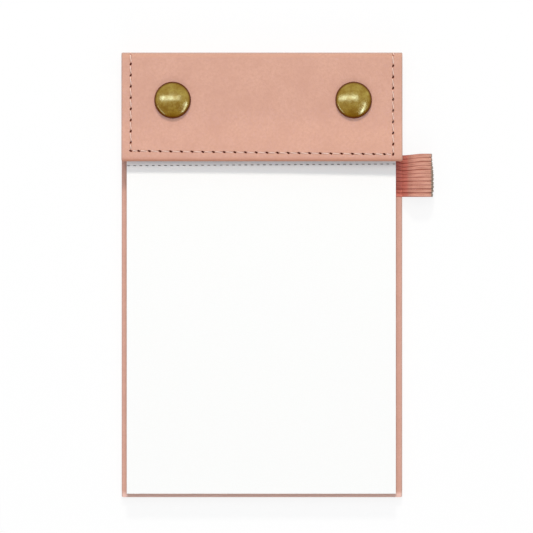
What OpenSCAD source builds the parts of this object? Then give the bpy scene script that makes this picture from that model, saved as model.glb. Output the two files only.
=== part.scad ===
// Leather-covered notepad: a tear-off pad held under a short snap-down flap, with a pen loop.
// It lies on its back cover. The origin is the middle of the back cover's rear face,
// +X is to the right, +Y towards the spine and +Z towards the reader.

/* [Cover] */
// Width of the cover
cover_w = 95; // [80:0.5:130]
// Height of the cover, from its bottom edge to the outside of the spine
cover_l = 150.5; // [130:0.5:200]
// Thickness of the outer leather
leather_t = 1.2; // [1.1:0.05:1.6]
// Thickness of the lining
lining_t = 0.7; // [0.5:0.05:1]
// Inside radius of the two folds at the spine
fold_in_r = 0.2; // [0.1:0.05:0.6]
// How far the flap comes down from the outside of the spine
flap_l = 36.8; // [32:0.2:50]
// Rounding along the flap's lower edge
flap_edge_r = 0.9; // [0.3:0.1:1]
// Clearance between the parts that turn on each other at a fold
fold_gap = 0.15; // [0.1:0.05:0.25]
// How far the round core of a fold reaches past the cover's thickness
fold_lap = 0.05; // [0.02:0.01:0.1]

/* [Pad] */
// Thickness of the stack of sheets
paper_t = 3.2; // [2.8:0.2:8]
// Thickness of the pad's card backing
backing_t = 0.8; // [0.5:0.1:1.5]
// Thickness of the glue film that binds the sheets along their top edge
binding_t = 0.3; // [0.2:0.05:0.6]
// Cover left showing to the left of the pad
border_left = 1.8; // [1:0.1:4]
// Cover left showing to the right of the pad
border_right = 2.25; // [1:0.05:4]
// Cover left showing below the pad
border_bottom = 1.3; // [0.5:0.1:4]
// Clearance between the pad's bound edge and the inside of the spine
spine_gap = 0.3; // [0.2:0.05:0.6]
// Clearance between the top sheet and the closed flap
flap_gap = 0.1; // [0.05:0.05:0.3]
// Length of the pad's stub, from its bound edge to the perforation
stub_l = 35.6; // [30:0.2:50]
// Distance between the slits of the perforation
perf_pitch = 2.09; // [1.8:0.01:4]
// Length of one slit
perf_slit_l = 1.1; // [0.6:0.05:1.4]
// Width of one slit
perf_slit_w = 0.2; // [0.1:0.05:0.4]
// How much the perforation rises to the right, in degrees
perf_tilt = 0.37; // [-0.6:0.01:0.6]

/* [Snaps] */
// Distance between the two snaps
snap_spacing = 61.2; // [50:0.2:70]
// How far the pair of snaps stands to the right of the cover's middle
snap_shift = 0.4; // [-1:0.1:1]
// Distance of the snaps from the outside of the spine
snap_from_top = 16.1; // [14:0.1:22]
// Diameter of a cap
cap_d = 12.4; // [11:0.1:15]
// Height of a cap over the flap
cap_h = 2.3; // [1.8:0.1:3]
// Radius of a cap's dome
cap_dome_r = 18; // [14:0.5:30]
// Radius of the shoulder round a cap
cap_edge_r = 1.3; // [0.8:0.1:1.5]
// Thickness of a cap's pressed sheet
cap_t = 0.6; // [0.4:0.05:0.8]
// Width of the rim on which a cap stands
cap_rim_w = 0.9; // [0.6:0.1:1.2]
// Diameter of the posts that hold the snaps
post_d = 3; // [2.4:0.1:3.2]
// Clearance round a post in the holes that it goes through
post_gap = 0.05; // [0.02:0.01:0.1]
// Diameter of a post's flange
flange_d = 9.4; // [8:0.1:10.5]
// Thickness of a post's flange
flange_t = 0.5; // [0.3:0.05:0.6]
// Thickness of the rim that a post is clenched into
clench_t = 0.2; // [0.15:0.01:0.25]
// Diameter of the rim that a post is clenched into
clench_d = 3.8; // [3.6:0.1:4]
// Diameter of a socket
socket_d = 10.6; // [10.2:0.1:11.4]
// Thickness of the top plate of a socket
socket_plate_t = 0.4; // [0.3:0.05:0.5]
// How far a socket's skirt stands back from the edge of its top plate
socket_step = 0.3; // [0.1:0.05:0.4]
// Thickness of a socket's skirt round its spring
socket_wall_t = 0.3; // [0.2:0.05:0.4]
// Diameter of the hollow in a socket
socket_in_d = 7; // [6.8:0.1:7.4]
// Thickness of the wire of a socket's spring
wire_d = 0.7; // [0.5:0.05:0.8]
// Diameter of a stud's base
stud_base_d = 10; // [9:0.1:10.6]
// Thickness of a stud's base
stud_base_t = 0.5; // [0.4:0.05:0.6]
// Diameter of a stud's neck
stud_neck_d = 4.4; // [4.2:0.1:4.6]
// Diameter of a stud's head
stud_head_d = 5.5; // [5.2:0.1:5.7]
// Height of a stud's head
stud_head_h = 1.25; // [1:0.05:1.4]
// Clearance inside a closed snap, and round its spring wires
snap_gap = 0.1; // [0.05:0.01:0.15]
// Clearance between a socket and the edge of the pad's hole
pad_hole_gap = 1.1; // [1:0.1:2]

/* [Stitching] */
// Distance of the seam from the cover's edges
seam_inset = 3.15; // [2.6:0.05:4]
// Distance of the flap's seam from its lower edge, at the left
flap_seam_inset = 3.5; // [2.8:0.1:5]
// How much the flap's seam falls to the right, in degrees
flap_seam_tilt = 0.76; // [0:0.01:1]
// Length of a stitch along the sides
side_pitch = 3.79; // [3:0.01:5]
// Length of a stitch along the bottom of the flap and of the back
row_pitch = 3.61; // [3:0.01:5]
// Length of the first side stitch at the left corner of the flap
left_first = 2.82; // [2:0.02:4]
// Length of the first side stitch at the right corner of the flap
right_first = 3.4; // [2:0.02:4]
// Length of the first stitch along a row
row_first = 2.7; // [2:0.1:4]
// Thickness of the thread
thread_d = 0.45; // [0.3:0.01:0.5]
// Width of the groove that the thread lies in
groove_w = 0.7; // [0.6:0.05:0.9]
// Depth of the thread's top under the face of the leather
thread_sink = 0.03; // [0.01:0.01:0.05]
// Length of a needle slit
slit_l = 1; // [0.7:0.05:1.2]
// Width of a needle slit
slit_w = 0.4; // [0.25:0.05:0.5]
// Depth of a needle slit
slit_h = 0.8; // [0.6:0.05:0.9]
// Turn of the needle slits along the sides, in degrees
side_slit_turn = 65; // [45:1:90]
// Turn of the needle slits along the row, in degrees
row_slit_turn = -23; // [-45:1:0]

/* [Pen loop] */
// Width of the elastic
loop_w = 14.6; // [10:0.2:20]
// Distance of the loop from the outside of the spine
loop_from_top = 34.2; // [28:0.2:50]
// How far the loop reaches out of the cover's side
loop_reach = 10.2; // [9:0.1:14]
// Height of the open loop
loop_h = 5.8; // [5.6:0.1:8]
// Length of the level stretch along the top of the loop
loop_level_l = 2.4; // [1:0.1:3]
// Height of the loop's underside over the surface that the cover lies on
loop_lift = 0.05; // [0.02:0.01:0.2]
// How far the loop's root stands out of the cover's side
loop_root_out = 0.15; // [0.05:0.05:0.4]
// Thickness of the elastic
elastic_t = 0.6; // [0.45:0.05:0.65]
// Length of the two ends that are held under the pad
loop_tab_l = 12; // [8:0.5:16]
// Number of ribs across the elastic
rib_count = 11; // [7:1:15]
// Depth of the furrows between the ribs
rib_h = 0.1; // [0.05:0.01:0.15]
// Share of the elastic's width that the ribs take up
rib_share = 0.72; // [0.5:0.02:0.85]

/* [Hidden] */
$fn = 48;
// How far a cutter reaches past what it cuts
over = 1;
// How far the cutter of a thread's groove reaches above the leather
groove_over = 0.1;
// Gap between two stretches of one thread
hair = 0.01;
// Share of a step that the row of perforation slits leaves free, both ends together
perf_rest = 0.5;

// Levels of the stack
cover_t = leather_t + lining_t;
pad_z = cover_t;
paper_z = pad_z + backing_t;
pad_top_z = paper_z + paper_t;
flap_z = pad_top_z + flap_gap;
top_z = flap_z + cover_t;

// Folds
fold_r = cover_t + fold_in_r;
edge_y = cover_l / 2;
fold_y = edge_y - fold_r;
low_fold_z = fold_r;
high_fold_z = top_z - fold_r;
core_r = fold_r + fold_lap;
hollow_r = core_r + fold_gap;
flap_y = edge_y - flap_l;

// Outline of the pad
pad_x0 = -cover_w / 2 + border_left;
pad_x1 = cover_w / 2 - border_right;
pad_y0 = -edge_y + border_bottom;
pad_y1 = fold_y + fold_in_r - spine_gap;
paper_y1 = pad_y1 - binding_t;
perf_y = pad_y1 - stub_l;
perf_count = floor((pad_x1 - pad_x0) / perf_pitch - perf_rest);

// Places and levels of the snaps
snap_y = edge_y - snap_from_top;
left_snap_x = snap_shift - snap_spacing / 2;
right_snap_x = snap_shift + snap_spacing / 2;
plate_z = flap_z - socket_plate_t;
clench_z = plate_z - clench_t;
stud_top_z = clench_z - snap_gap;
head_z = stud_top_z - stud_head_h;
stud_neck_z = cover_t + stud_base_t;
socket_z = stud_neck_z + snap_gap;
wire_z = head_z - snap_gap / 2 - wire_d / 2;
wire_y = stud_neck_d / 2 + snap_gap / 2 + wire_d / 2;
skirt_r = socket_d / 2 - socket_step;
spring_seat_r = skirt_r - socket_wall_t;
wire_l = 2 * sqrt(pow(spring_seat_r - snap_gap, 2) - pow(wire_y + wire_d / 2, 2));
pad_hole_r = socket_d / 2 + pad_hole_gap;
cap_foot_r = post_d / 2 + cap_t;

// Path of the seam over the spine, measured from the high fold's line and positive on the way round
seam_x = cover_w / 2 - seam_inset;
corner_y = flap_y + flap_seam_inset;
low_corner_y = -edge_y + seam_inset;
fold_run = fold_r * PI / 2;
spine_run = high_fold_z - low_fold_z;
low_s = fold_run + spine_run;
round_run = low_s + fold_run;
fold_turn = 90 / fold_run;
thread_mid = thread_sink + thread_d / 2;
groove_d = thread_sink + thread_d;
thread_r = fold_r - thread_mid;
hole_gap = slit_l / 2;
flap_end_s = -reach_at(hollow_r, groove_d);
spine_start_s = -reach_at(core_r, thread_sink);
spine_end_s = low_s - reach_at(hollow_r, groove_d);
back_start_s = low_s - reach_at(core_r, thread_sink);

// Pen loop
loop_y1 = edge_y - loop_from_top;
loop_y0 = loop_y1 - loop_w;
loop_r = loop_h / 2;
loop_end = [cover_w / 2 + loop_reach - loop_r, loop_lift + loop_r];
loop_start = [loop_end[0] - loop_level_l, loop_end[1]];
loop_mouth = [cover_w / 2 + loop_root_out, cover_t - elastic_t];
tab_x0 = cover_w / 2 - loop_tab_l;
tab_z = cover_t - 2 * elastic_t;
rib_pitch = loop_w / rib_count;
rib_w = rib_pitch * rib_share;

leather_c = [0.85, 0.66, 0.58];
lining_c = [0.82, 0.64, 0.57];
paper_c = [0.97, 0.97, 0.96];
card_c = [0.72, 0.68, 0.62];
glue_c = [0.92, 0.91, 0.86];
brass_c = [0.63, 0.55, 0.24];
steel_c = [0.7, 0.7, 0.7];
thread_c = [0.93, 0.79, 0.73];
elastic_c = [0.78, 0.55, 0.48];

// Distance from a fold's line at which a round of radius r passes a given depth under the leather's face
function reach_at(r, depth) = sqrt(pow(r, 2) - pow(fold_r - depth, 2));

// Height of the flap's seam at x
function row_y(x) = corner_y - (x + seam_x) * tan(flap_seam_tilt);

// Needle holes from a to b: a first stitch, then stitches of equal length, and a last one that ends at b
function holes(a, b, first, pitch) =
    concat([a], [for (v = [a + first:pitch:b - pitch / 2]) v], [b]);

// Needle holes of a side's whole seam, from the flap's corner over the spine to the back's bottom corner
function side_holes(x, first) =
    holes(row_y(x) - fold_y, round_run + fold_y - low_corner_y, first, side_pitch);

// Angle of the outward normal where a straight line touches two circles on one side
function touch_angle(a, ra, b, rb, side) =
    atan2(b[1] - a[1], b[0] - a[0]) + side * acos((ra - rb) / norm(b - a));

// Point on a circle, at an angle from X
function on_circle(c, r, angle) = [c[0] + r * cos(angle), c[1] + r * sin(angle)];

// Extrudes a profile drawn in Y and Z across X, centred on x
module across(w, x = 0) {
    translate([x, 0, 0]) rotate([90, 0, 90]) translate([0, 0, -w / 2])
        linear_extrude(height = w) children();
}

// Everything that lies deeper than d under the outer face of the folded cover
module inside(d) {
    translate([-edge_y, d]) square([fold_y + edge_y, top_z - 2 * d]);
    translate([fold_y, low_fold_z]) square([fold_r - d, spine_run]);
    translate([fold_y, low_fold_z]) circle(fold_r - d);
    translate([fold_y, high_fold_z]) circle(fold_r - d);
}

// One layer of the folded cover, between two depths
module layer(d0, d1) {
    difference() {
        inside(d0);
        inside(d1);
    }
}

// The back's share of a layer: the level panel and the round core of the low fold
module back_share(d0, d1) {
    intersection() {
        layer(d0, d1);
        union() {
            translate([-edge_y, 0]) square([fold_y + edge_y, low_fold_z]);
            translate([fold_y, low_fold_z]) circle(core_r);
        }
    }
}

// The spine's share of a layer: the upright strip and the round core of the high fold
module spine_share(d0, d1) {
    difference() {
        intersection() {
            layer(d0, d1);
            union() {
                translate([fold_y, 0]) square([core_r, top_z]);
                translate([fold_y, high_fold_z]) circle(core_r);
            }
        }
        translate([fold_y, low_fold_z]) circle(hollow_r);
    }
}

// The flap's share of a layer
module flap_share(d0, d1) {
    difference() {
        intersection() {
            layer(d0, d1);
            translate([flap_y, high_fold_z]) square([fold_y - flap_y, core_r]);
        }
        translate([fold_y, high_fold_z]) circle(hollow_r);
    }
}

// What the rounding takes off the flap's lower edge
module flap_rounding() {
    translate([flap_y, top_z - flap_edge_r]) difference() {
        translate([-over, 0]) square([flap_edge_r + over, flap_edge_r + over]);
        translate([flap_edge_r, 0]) circle(flap_edge_r);
    }
}

// Groove for one side's thread, from the flap's corner round the spine to the back's bottom corner
module side_groove(x) {
    across(groove_w, x) intersection() {
        layer(-groove_over, groove_d);
        union() {
            translate([row_y(x), high_fold_z]) square([cover_l, fold_r + over]);
            translate([low_corner_y, -over]) square([cover_l, high_fold_z + over]);
        }
    }
}

// Groove for the thread between two points of a level face at height z
module row_groove(x0, y0, x1, y1, z) {
    translate([(x0 + x1) / 2, (y0 + y1) / 2, z]) rotate([0, 0, atan2(y1 - y0, x1 - x0)])
        cube([norm([x1 - x0, y1 - y0]) + groove_w, groove_w, 2 * groove_d], center = true);
}

// One needle slit in the flap
module needle_slit(x, y, turn) {
    translate([x, y, top_z]) rotate([0, 0, turn]) cube([slit_l, slit_w, 2 * slit_h], center = true);
}

// All needle slits of the flap's seam
module flap_slits() {
    for (s = side_holes(-seam_x, left_first))
        if (s < flap_end_s) needle_slit(-seam_x, fold_y + s, side_slit_turn);
    for (s = side_holes(seam_x, right_first))
        if (s < flap_end_s) needle_slit(seam_x, fold_y + s, side_slit_turn);
    for (x = holes(-seam_x, seam_x, row_first, row_pitch))
        if (abs(x) < seam_x) needle_slit(x, row_y(x), row_slit_turn);
}

// Something at the left snap
module at_left() {
    translate([left_snap_x, snap_y, 0]) children();
}

// Something at the right snap
module at_right() {
    translate([right_snap_x, snap_y, 0]) children();
}

// Something at both snaps
module at_snaps() {
    at_left() children();
    at_right() children();
}

// A round hole or disc between two heights
module disc(r, z0, z1) {
    translate([0, 0, z0]) cylinder(r = r, h = z1 - z0);
}

// Holes for the posts through the cover between two heights
module post_holes(z0, z1) {
    at_snaps() disc(post_d / 2 + post_gap, z0 - over, z1 + over);
}

// Room for the pen loop's ends, pressed into the inside of the cover
module loop_bed() {
    translate([tab_x0, loop_y0, tab_z]) cube([loop_tab_l + over, loop_w, 2 * elastic_t + over]);
}

module back_leather() {
    color(leather_c) difference() {
        across(cover_w) back_share(0, leather_t);
        side_groove(-seam_x);
        side_groove(seam_x);
        row_groove(-seam_x, low_corner_y, seam_x, low_corner_y, 0);
        post_holes(0, leather_t);
        at_snaps() disc(flange_d / 2 + post_gap, -over, flange_t);
        loop_bed();
    }
}

module back_lining() {
    color(lining_c) difference() {
        across(cover_w) back_share(leather_t, cover_t);
        post_holes(leather_t, cover_t);
        loop_bed();
    }
}

module spine_leather() {
    color(leather_c) difference() {
        across(cover_w) spine_share(0, leather_t);
        side_groove(-seam_x);
        side_groove(seam_x);
    }
}

module spine_lining() {
    color(lining_c) across(cover_w) spine_share(leather_t, cover_t);
}

module flap_leather() {
    color(leather_c) difference() {
        across(cover_w) difference() {
            flap_share(0, leather_t);
            flap_rounding();
        }
        side_groove(-seam_x);
        side_groove(seam_x);
        row_groove(-seam_x, row_y(-seam_x), seam_x, row_y(seam_x), top_z);
        flap_slits();
        post_holes(flap_z + lining_t, top_z);
    }
}

module flap_lining() {
    color(lining_c) difference() {
        across(cover_w) flap_share(leather_t, cover_t);
        post_holes(flap_z, flap_z + lining_t);
    }
}

module paper_block() {
    color(paper_c) difference() {
        translate([pad_x0, pad_y0, paper_z]) cube([pad_x1 - pad_x0, paper_y1 - pad_y0, paper_t]);
        at_snaps() disc(pad_hole_r, paper_z - over, pad_top_z + over);
        translate([(pad_x0 + pad_x1) / 2, perf_y, paper_z + paper_t / 2]) rotate([0, 0, perf_tilt])
            for (i = [0:perf_count]) translate([(i - perf_count / 2) * perf_pitch, 0, 0])
                cube([perf_slit_l, perf_slit_w, paper_t + over], center = true);
    }
}

module pad_backing() {
    color(card_c) difference() {
        translate([pad_x0, pad_y0, pad_z]) cube([pad_x1 - pad_x0, paper_y1 - pad_y0, backing_t]);
        at_snaps() disc(pad_hole_r, pad_z - over, paper_z + over);
    }
}

module pad_binding() {
    color(glue_c) translate([pad_x0, paper_y1, pad_z])
        cube([pad_x1 - pad_x0, binding_t, pad_top_z - pad_z]);
}

// Outline round the loop, or round its inside, in X and Z, with the elastic's outer face moved in by inset
module loop_outline(inset) {
    r = loop_r - inset;
    mouth_r = elastic_t - inset;
    up = touch_angle(loop_mouth, elastic_t, loop_start, loop_r, 1);
    down = touch_angle(loop_mouth, elastic_t, loop_start, loop_r, -1);
    polygon([
        on_circle(loop_mouth, mouth_r, down), on_circle(loop_start, r, down), on_circle(loop_start, r, -90),
        on_circle(loop_end, r, -90), on_circle(loop_end, r, 90), on_circle(loop_start, r, 90),
        on_circle(loop_start, r, up), on_circle(loop_mouth, mouth_r, up)
    ]);
    translate(loop_start) circle(r);
    translate(loop_end) circle(r);
    if (mouth_r > 0) translate(loop_mouth) circle(mouth_r);
}

// Extrudes a profile drawn in X and Z along Y
module along(y0, y1) {
    translate([0, y1, 0]) rotate([90, 0, 0]) linear_extrude(height = y1 - y0) children();
}

module pen_loop() {
    color(elastic_c) difference() {
        union() {
            along(loop_y0, loop_y1) loop_outline(rib_h);
            for (i = [0:rib_count - 1]) {
                y = loop_y0 + (i + 0.5) * rib_pitch;
                along(y - rib_w / 2, y + rib_w / 2) loop_outline(0);
            }
            translate([tab_x0, loop_y0, tab_z]) cube([loop_mouth[0] - tab_x0, loop_w, 2 * elastic_t]);
        }
        along(loop_y0 - over, loop_y1 + over) loop_outline(elastic_t);
    }
}

// Section through a cap: a shallow dome with a rounded shoulder
module cap_section(r, h, dome_r, edge_r) {
    shoulder_r = r - edge_r;
    shoulder_z = h - dome_r + sqrt(pow(dome_r, 2) - pow(shoulder_r, 2)) - edge_r;
    intersection() {
        square([r, h]);
        union() {
            intersection() {
                translate([0, h - dome_r]) circle(dome_r);
                square([shoulder_r, h]);
            }
            translate([shoulder_r, shoulder_z]) circle(edge_r);
            square([shoulder_r + edge_r / 2, shoulder_z + edge_r / 2]);
        }
    }
}

// Cap with its post, which goes through the flap and is clenched under the socket's plate
module snap_cap() {
    color(brass_c) {
        translate([0, 0, top_z]) rotate_extrude() difference() {
            cap_section(cap_d / 2, cap_h, cap_dome_r, cap_edge_r);
            intersection() {
                translate([cap_foot_r, -over]) square([cap_d / 2 - cap_rim_w - cap_foot_r, cap_h + over]);
                translate([0, cap_h - cap_dome_r]) circle(cap_dome_r - cap_t);
                square([cap_d / 2, cap_h - cap_edge_r]);
            }
        }
        disc(post_d / 2, clench_z, top_z);
        disc(clench_d / 2, clench_z, plate_z);
    }
}

// Socket under the flap, with a seat for the two spring wires
module snap_socket() {
    color(brass_c) difference() {
        union() {
            disc(socket_d / 2, plate_z - socket_plate_t, flap_z);
            disc(skirt_r, socket_z, flap_z);
        }
        disc(socket_in_d / 2, socket_z - over, plate_z);
        disc(spring_seat_r, wire_z - wire_d / 2 - snap_gap / 2, wire_z + wire_d / 2 + snap_gap / 2);
        disc(post_d / 2 + post_gap, plate_z - over, flap_z + over);
    }
}

// The two wires that grip the stud's neck
module snap_spring() {
    color(steel_c) for (side = [-1, 1])
        translate([-wire_l / 2, side * wire_y, wire_z]) rotate([0, 90, 0]) cylinder(d = wire_d, h = wire_l);
}

// Stud on the inside of the back: base, neck, and a head with a dish for the clenched post
module snap_stud() {
    edge_r = stud_head_h / 2;
    color(brass_c) difference() {
        union() {
            disc(stud_base_d / 2, cover_t, stud_neck_z);
            disc(stud_neck_d / 2, cover_t, stud_top_z);
            disc(stud_head_d / 2 - edge_r, head_z, stud_top_z);
            translate([0, 0, head_z + edge_r]) rotate_extrude()
                translate([stud_head_d / 2 - edge_r, 0]) circle(edge_r);
        }
        disc(post_d / 2 + post_gap, cover_t - over, stud_top_z + over);
        disc(clench_d / 2 + post_gap, stud_top_z - clench_t, stud_top_z + over);
    }
}

// Post from behind: a flange set flush in the back, clenched in the stud's head
module snap_post() {
    color(brass_c) {
        disc(flange_d / 2, 0, flange_t);
        disc(post_d / 2, 0, stud_top_z);
        disc(clench_d / 2, stud_top_z - clench_t, stud_top_z);
    }
}

module snap_cap_left() { at_left() snap_cap(); }
module snap_cap_right() { at_right() snap_cap(); }
module snap_socket_left() { at_left() snap_socket(); }
module snap_socket_right() { at_right() snap_socket(); }
module snap_spring_left() { at_left() snap_spring(); }
module snap_spring_right() { at_right() snap_spring(); }
module snap_stud_left() { at_left() snap_stud(); }
module snap_stud_right() { at_right() snap_stud(); }
module snap_post_left() { at_left() snap_post(); }
module snap_post_right() { at_right() snap_post(); }

// Thread between two points of a level face, with its middle at height z
module thread_between(x0, y0, x1, y1, z) {
    l = norm([x1 - x0, y1 - y0]) - 2 * hole_gap;
    translate([(x0 + x1) / 2, (y0 + y1) / 2, z]) rotate([0, 0, atan2(y1 - y0, x1 - x0)])
        rotate([0, 90, 0]) cylinder(d = thread_d, h = l, center = true);
}

// Thread that is bent round a fold's line, between two angles measured from +Y towards +Z
module thread_arc(z, a0, a1) {
    translate([0, fold_y, z]) rotate([90, 0, 90]) rotate([0, 0, a0])
        rotate_extrude(angle = a1 - a0) translate([thread_r, 0]) circle(d = thread_d);
}

// Straight thread from a point in Y and Z, towards +Y or upwards
module thread_bar(y, z, l, up = false) {
    translate([0, y, z]) rotate([up ? 0 : -90, 0, 0]) cylinder(d = thread_d, h = l);
}

// One stitch of a side's seam, from s0 to s1 along its path. It is drawn in stretches, straight on the flap,
// round the high fold, straight down the spine, round the low fold and straight on the back,
// and the straight stretches stop short of the bent ones by a hair.
module side_stitch(x, s0, s1) {
    high0 = max(s0, 0);
    high1 = min(s1, fold_run);
    strip0 = max(s0, fold_run + hair);
    strip1 = min(s1, low_s - hair);
    strip_z = high_fold_z + fold_run - strip1;
    low0 = max(s0, low_s);
    low1 = min(s1, round_run);
    back0 = max(s0, round_run + hair);
    translate([x, 0, 0]) {
        if (s0 < -hair) thread_bar(fold_y + s0, top_z - thread_mid, min(s1, -hair) - s0);
        if (high1 > high0) thread_arc(high_fold_z, 90 - high1 * fold_turn, 90 - high0 * fold_turn);
        if (strip1 > strip0) thread_bar(edge_y - thread_mid, strip_z, strip1 - strip0, true);
        if (low1 > low0) thread_arc(low_fold_z, (low_s - low1) * fold_turn, (low_s - low0) * fold_turn);
        if (s1 > back0) thread_bar(fold_y + round_run - s1, thread_mid, s1 - back0);
    }
}

// The stitches of a side's seam that lie between lo and hi along its path
module side_stitches(x, first, lo, hi) {
    points = side_holes(x, first);
    for (i = [0:len(points) - 2]) {
        s0 = max(points[i] + hole_gap, lo);
        s1 = min(points[i + 1] - hole_gap, hi);
        if (s1 - s0 > thread_d) side_stitch(x, s0, s1);
    }
}

module back_stitching() {
    points = holes(-seam_x, seam_x, row_first, row_pitch);
    end_s = 2 * cover_l;
    color(thread_c) {
        side_stitches(-seam_x, left_first, back_start_s, end_s);
        side_stitches(seam_x, right_first, back_start_s, end_s);
        for (i = [0:len(points) - 2])
            thread_between(points[i], low_corner_y, points[i + 1], low_corner_y, thread_mid);
    }
}

module spine_stitching() {
    color(thread_c) {
        side_stitches(-seam_x, left_first, spine_start_s, spine_end_s);
        side_stitches(seam_x, right_first, spine_start_s, spine_end_s);
    }
}

module flap_stitching() {
    points = holes(-seam_x, seam_x, row_first, row_pitch);
    color(thread_c) {
        side_stitches(-seam_x, left_first, -cover_l, flap_end_s);
        side_stitches(seam_x, right_first, -cover_l, flap_end_s);
        for (i = [0:len(points) - 2])
            thread_between(points[i], row_y(points[i]), points[i + 1], row_y(points[i + 1]),
                           top_z - thread_mid);
    }
}

back_leather();
back_lining();
spine_leather();
spine_lining();
flap_leather();
flap_lining();
paper_block();
pad_backing();
pad_binding();
pen_loop();
snap_cap_left();
snap_cap_right();
snap_socket_left();
snap_socket_right();
snap_spring_left();
snap_spring_right();
snap_stud_left();
snap_stud_right();
snap_post_left();
snap_post_right();
back_stitching();
spine_stitching();
flap_stitching();
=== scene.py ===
"""Dresses the leather-covered notepad: cover, seam, pad, snaps and pen loop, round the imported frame.

All sizes are in millimetres and repeat those of the part's source; meshes are written in metres.
"""
import logging
import math
import random
from collections.abc import Callable, Iterable, Sequence
from dataclasses import dataclass, field
from enum import Enum
from functools import cache

import bmesh
import bpy
from mathutils import Matrix, Vector
from mathutils.geometry import delaunay_2d_cdt


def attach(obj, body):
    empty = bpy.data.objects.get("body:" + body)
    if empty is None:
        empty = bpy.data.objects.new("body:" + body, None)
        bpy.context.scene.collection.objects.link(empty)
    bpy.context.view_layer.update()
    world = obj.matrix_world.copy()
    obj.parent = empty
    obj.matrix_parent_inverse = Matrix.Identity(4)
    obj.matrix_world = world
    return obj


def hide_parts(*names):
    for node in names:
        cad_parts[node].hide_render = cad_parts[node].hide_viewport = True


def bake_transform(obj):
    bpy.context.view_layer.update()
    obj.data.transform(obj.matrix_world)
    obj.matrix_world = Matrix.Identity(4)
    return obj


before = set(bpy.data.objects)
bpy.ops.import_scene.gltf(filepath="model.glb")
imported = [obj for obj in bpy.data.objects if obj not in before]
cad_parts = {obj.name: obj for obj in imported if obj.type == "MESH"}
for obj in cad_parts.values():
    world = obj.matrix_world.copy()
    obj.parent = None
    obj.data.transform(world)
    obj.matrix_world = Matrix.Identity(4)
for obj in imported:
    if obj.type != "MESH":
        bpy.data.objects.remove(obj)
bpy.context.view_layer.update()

MM = 0.001
log = logging.getLogger("notepad")

Point = tuple[float, float, float]
Flat = tuple[float, float]
Ring = list[Point]
Colour = tuple[float, float, float]
Triple = tuple[float, float, float]
WHITE: Colour = (1.0, 1.0, 1.0)
# Where the snaps stand, in millimetres: the left one and the right one, and the row of both.
SNAP_X: Flat = (-30.2, 31.0)
SNAP_Y = 59.15


class Body(Enum):
    """The bodies that the pieces ride on."""

    ROOT = "root"
    SPINE = "spine"
    FLAP = "flap"


class Side(Enum):
    """The two snaps and the two side seams, by the sign of x."""

    LEFT = -1
    RIGHT = 1


class Face(Enum):
    """The two faces of the folded cover that a seam shows on."""

    OUTER = "outer"
    INNER = "inner"


class Axis(Enum):
    """Direction in the row frame: across the cover, or along it."""

    X = "X"
    Y = "Y"


class Sight(Enum):
    """What a lamp is for."""

    DULL = "dull surfaces"
    GLOSS = "glossy surfaces"


def colour(red: float, green: float, blue: float) -> Colour:
    """Turns a display colour into the linear one that shaders take.

    Args:
        red: Display value from 0 to 255.
        green: Display value from 0 to 255.
        blue: Display value from 0 to 255.

    Returns:
        The linear red, green and blue.
    """
    def linear(value: float) -> float:
        """Linear value of one display channel."""
        share = value / 255
        return share / 12.92 if share <= 0.04045 else ((share + 0.055) / 1.055) ** 2.4

    return linear(red), linear(green), linear(blue)


def spread(start: float, end: float, step: float) -> list[float]:
    """Evenly spaced values from start to end, both kept, no further apart than step.

    Args:
        start: First value.
        end: Last value.
        step: Largest distance between neighbours.

    Returns:
        The values in order.
    """
    count = max(1, math.ceil(abs(end - start) / step - 1e-6))
    return [start + (end - start) * i / count for i in range(count + 1)]


def smooth(value: float) -> float:
    """Smooth step from 0 to 1 of a value that is cut to that range."""
    value = min(1.0, max(0.0, value))
    return value * value * (3 - 2 * value)


def rounding(distance: float, radius: float) -> float:
    """How far a rounded edge lies under its face.

    Args:
        distance: Distance from the edge, along the face.
        radius: Radius of the rounding.

    Returns:
        The depth under the face.
    """
    if radius <= 0 or distance >= radius:
        return 0.0
    return radius - math.sqrt(radius ** 2 - (radius - max(0.0, distance)) ** 2)


def mesh_piece(name: str, points: Iterable[Point], faces: Iterable[Sequence[int]],
               scale: float = MM, shade_angle: float = 40.0) -> bpy.types.Object:
    """Makes one mesh object with outward faces and shading that is smooth up to an angle.

    Args:
        name: Name of the object.
        points: Corners, in millimetres.
        faces: Corners of each face, by index.
        scale: Factor from the points to the mesh.
        shade_angle: Angle in degrees above which an edge stays sharp.

    Returns:
        The new object, linked to the scene.
    """
    mesh = bpy.data.meshes.new(name)
    mesh.from_pydata([Vector(p) * scale for p in points], [], [list(f) for f in faces])
    piece = bpy.data.objects.new(name, mesh)
    bpy.context.scene.collection.objects.link(piece)
    tidy_normals(piece, shade_angle)
    return piece


def tidy_normals(piece: bpy.types.Object, shade_angle: float) -> None:
    """Turns a mesh's faces outward and marks the edges sharper than an angle.

    Args:
        piece: Object whose mesh is changed.
        shade_angle: Angle in degrees above which an edge stays sharp.
    """
    mesh = bmesh.new()
    mesh.from_mesh(piece.data)
    bmesh.ops.recalc_face_normals(mesh, faces=mesh.faces)
    limit = math.radians(shade_angle)
    for edge in mesh.edges:
        edge.smooth = edge.calc_face_angle(0.0) <= limit
    for face in mesh.faces:
        face.smooth = True
    mesh.to_mesh(piece.data)
    mesh.free()


def hull_of_rings(rings: Sequence[Ring]) -> tuple[list[Point], list[list[int]]]:
    """Joins closed rings of equal length into a closed skin with flat ends.

    Args:
        rings: Rings of points, one after another.

    Returns:
        The points and the faces.
    """
    count = len(rings[0])
    points = [p for ring in rings for p in ring]
    faces: list[list[int]] = []
    for i in range(len(rings) - 1):
        low, high = i * count, (i + 1) * count
        faces += [[low + j, low + (j + 1) % count, high + (j + 1) % count, high + j] for j in range(count)]
    last = (len(rings) - 1) * count
    faces += [list(range(count))[::-1], [last + j for j in range(count)]]
    return points, faces


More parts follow.
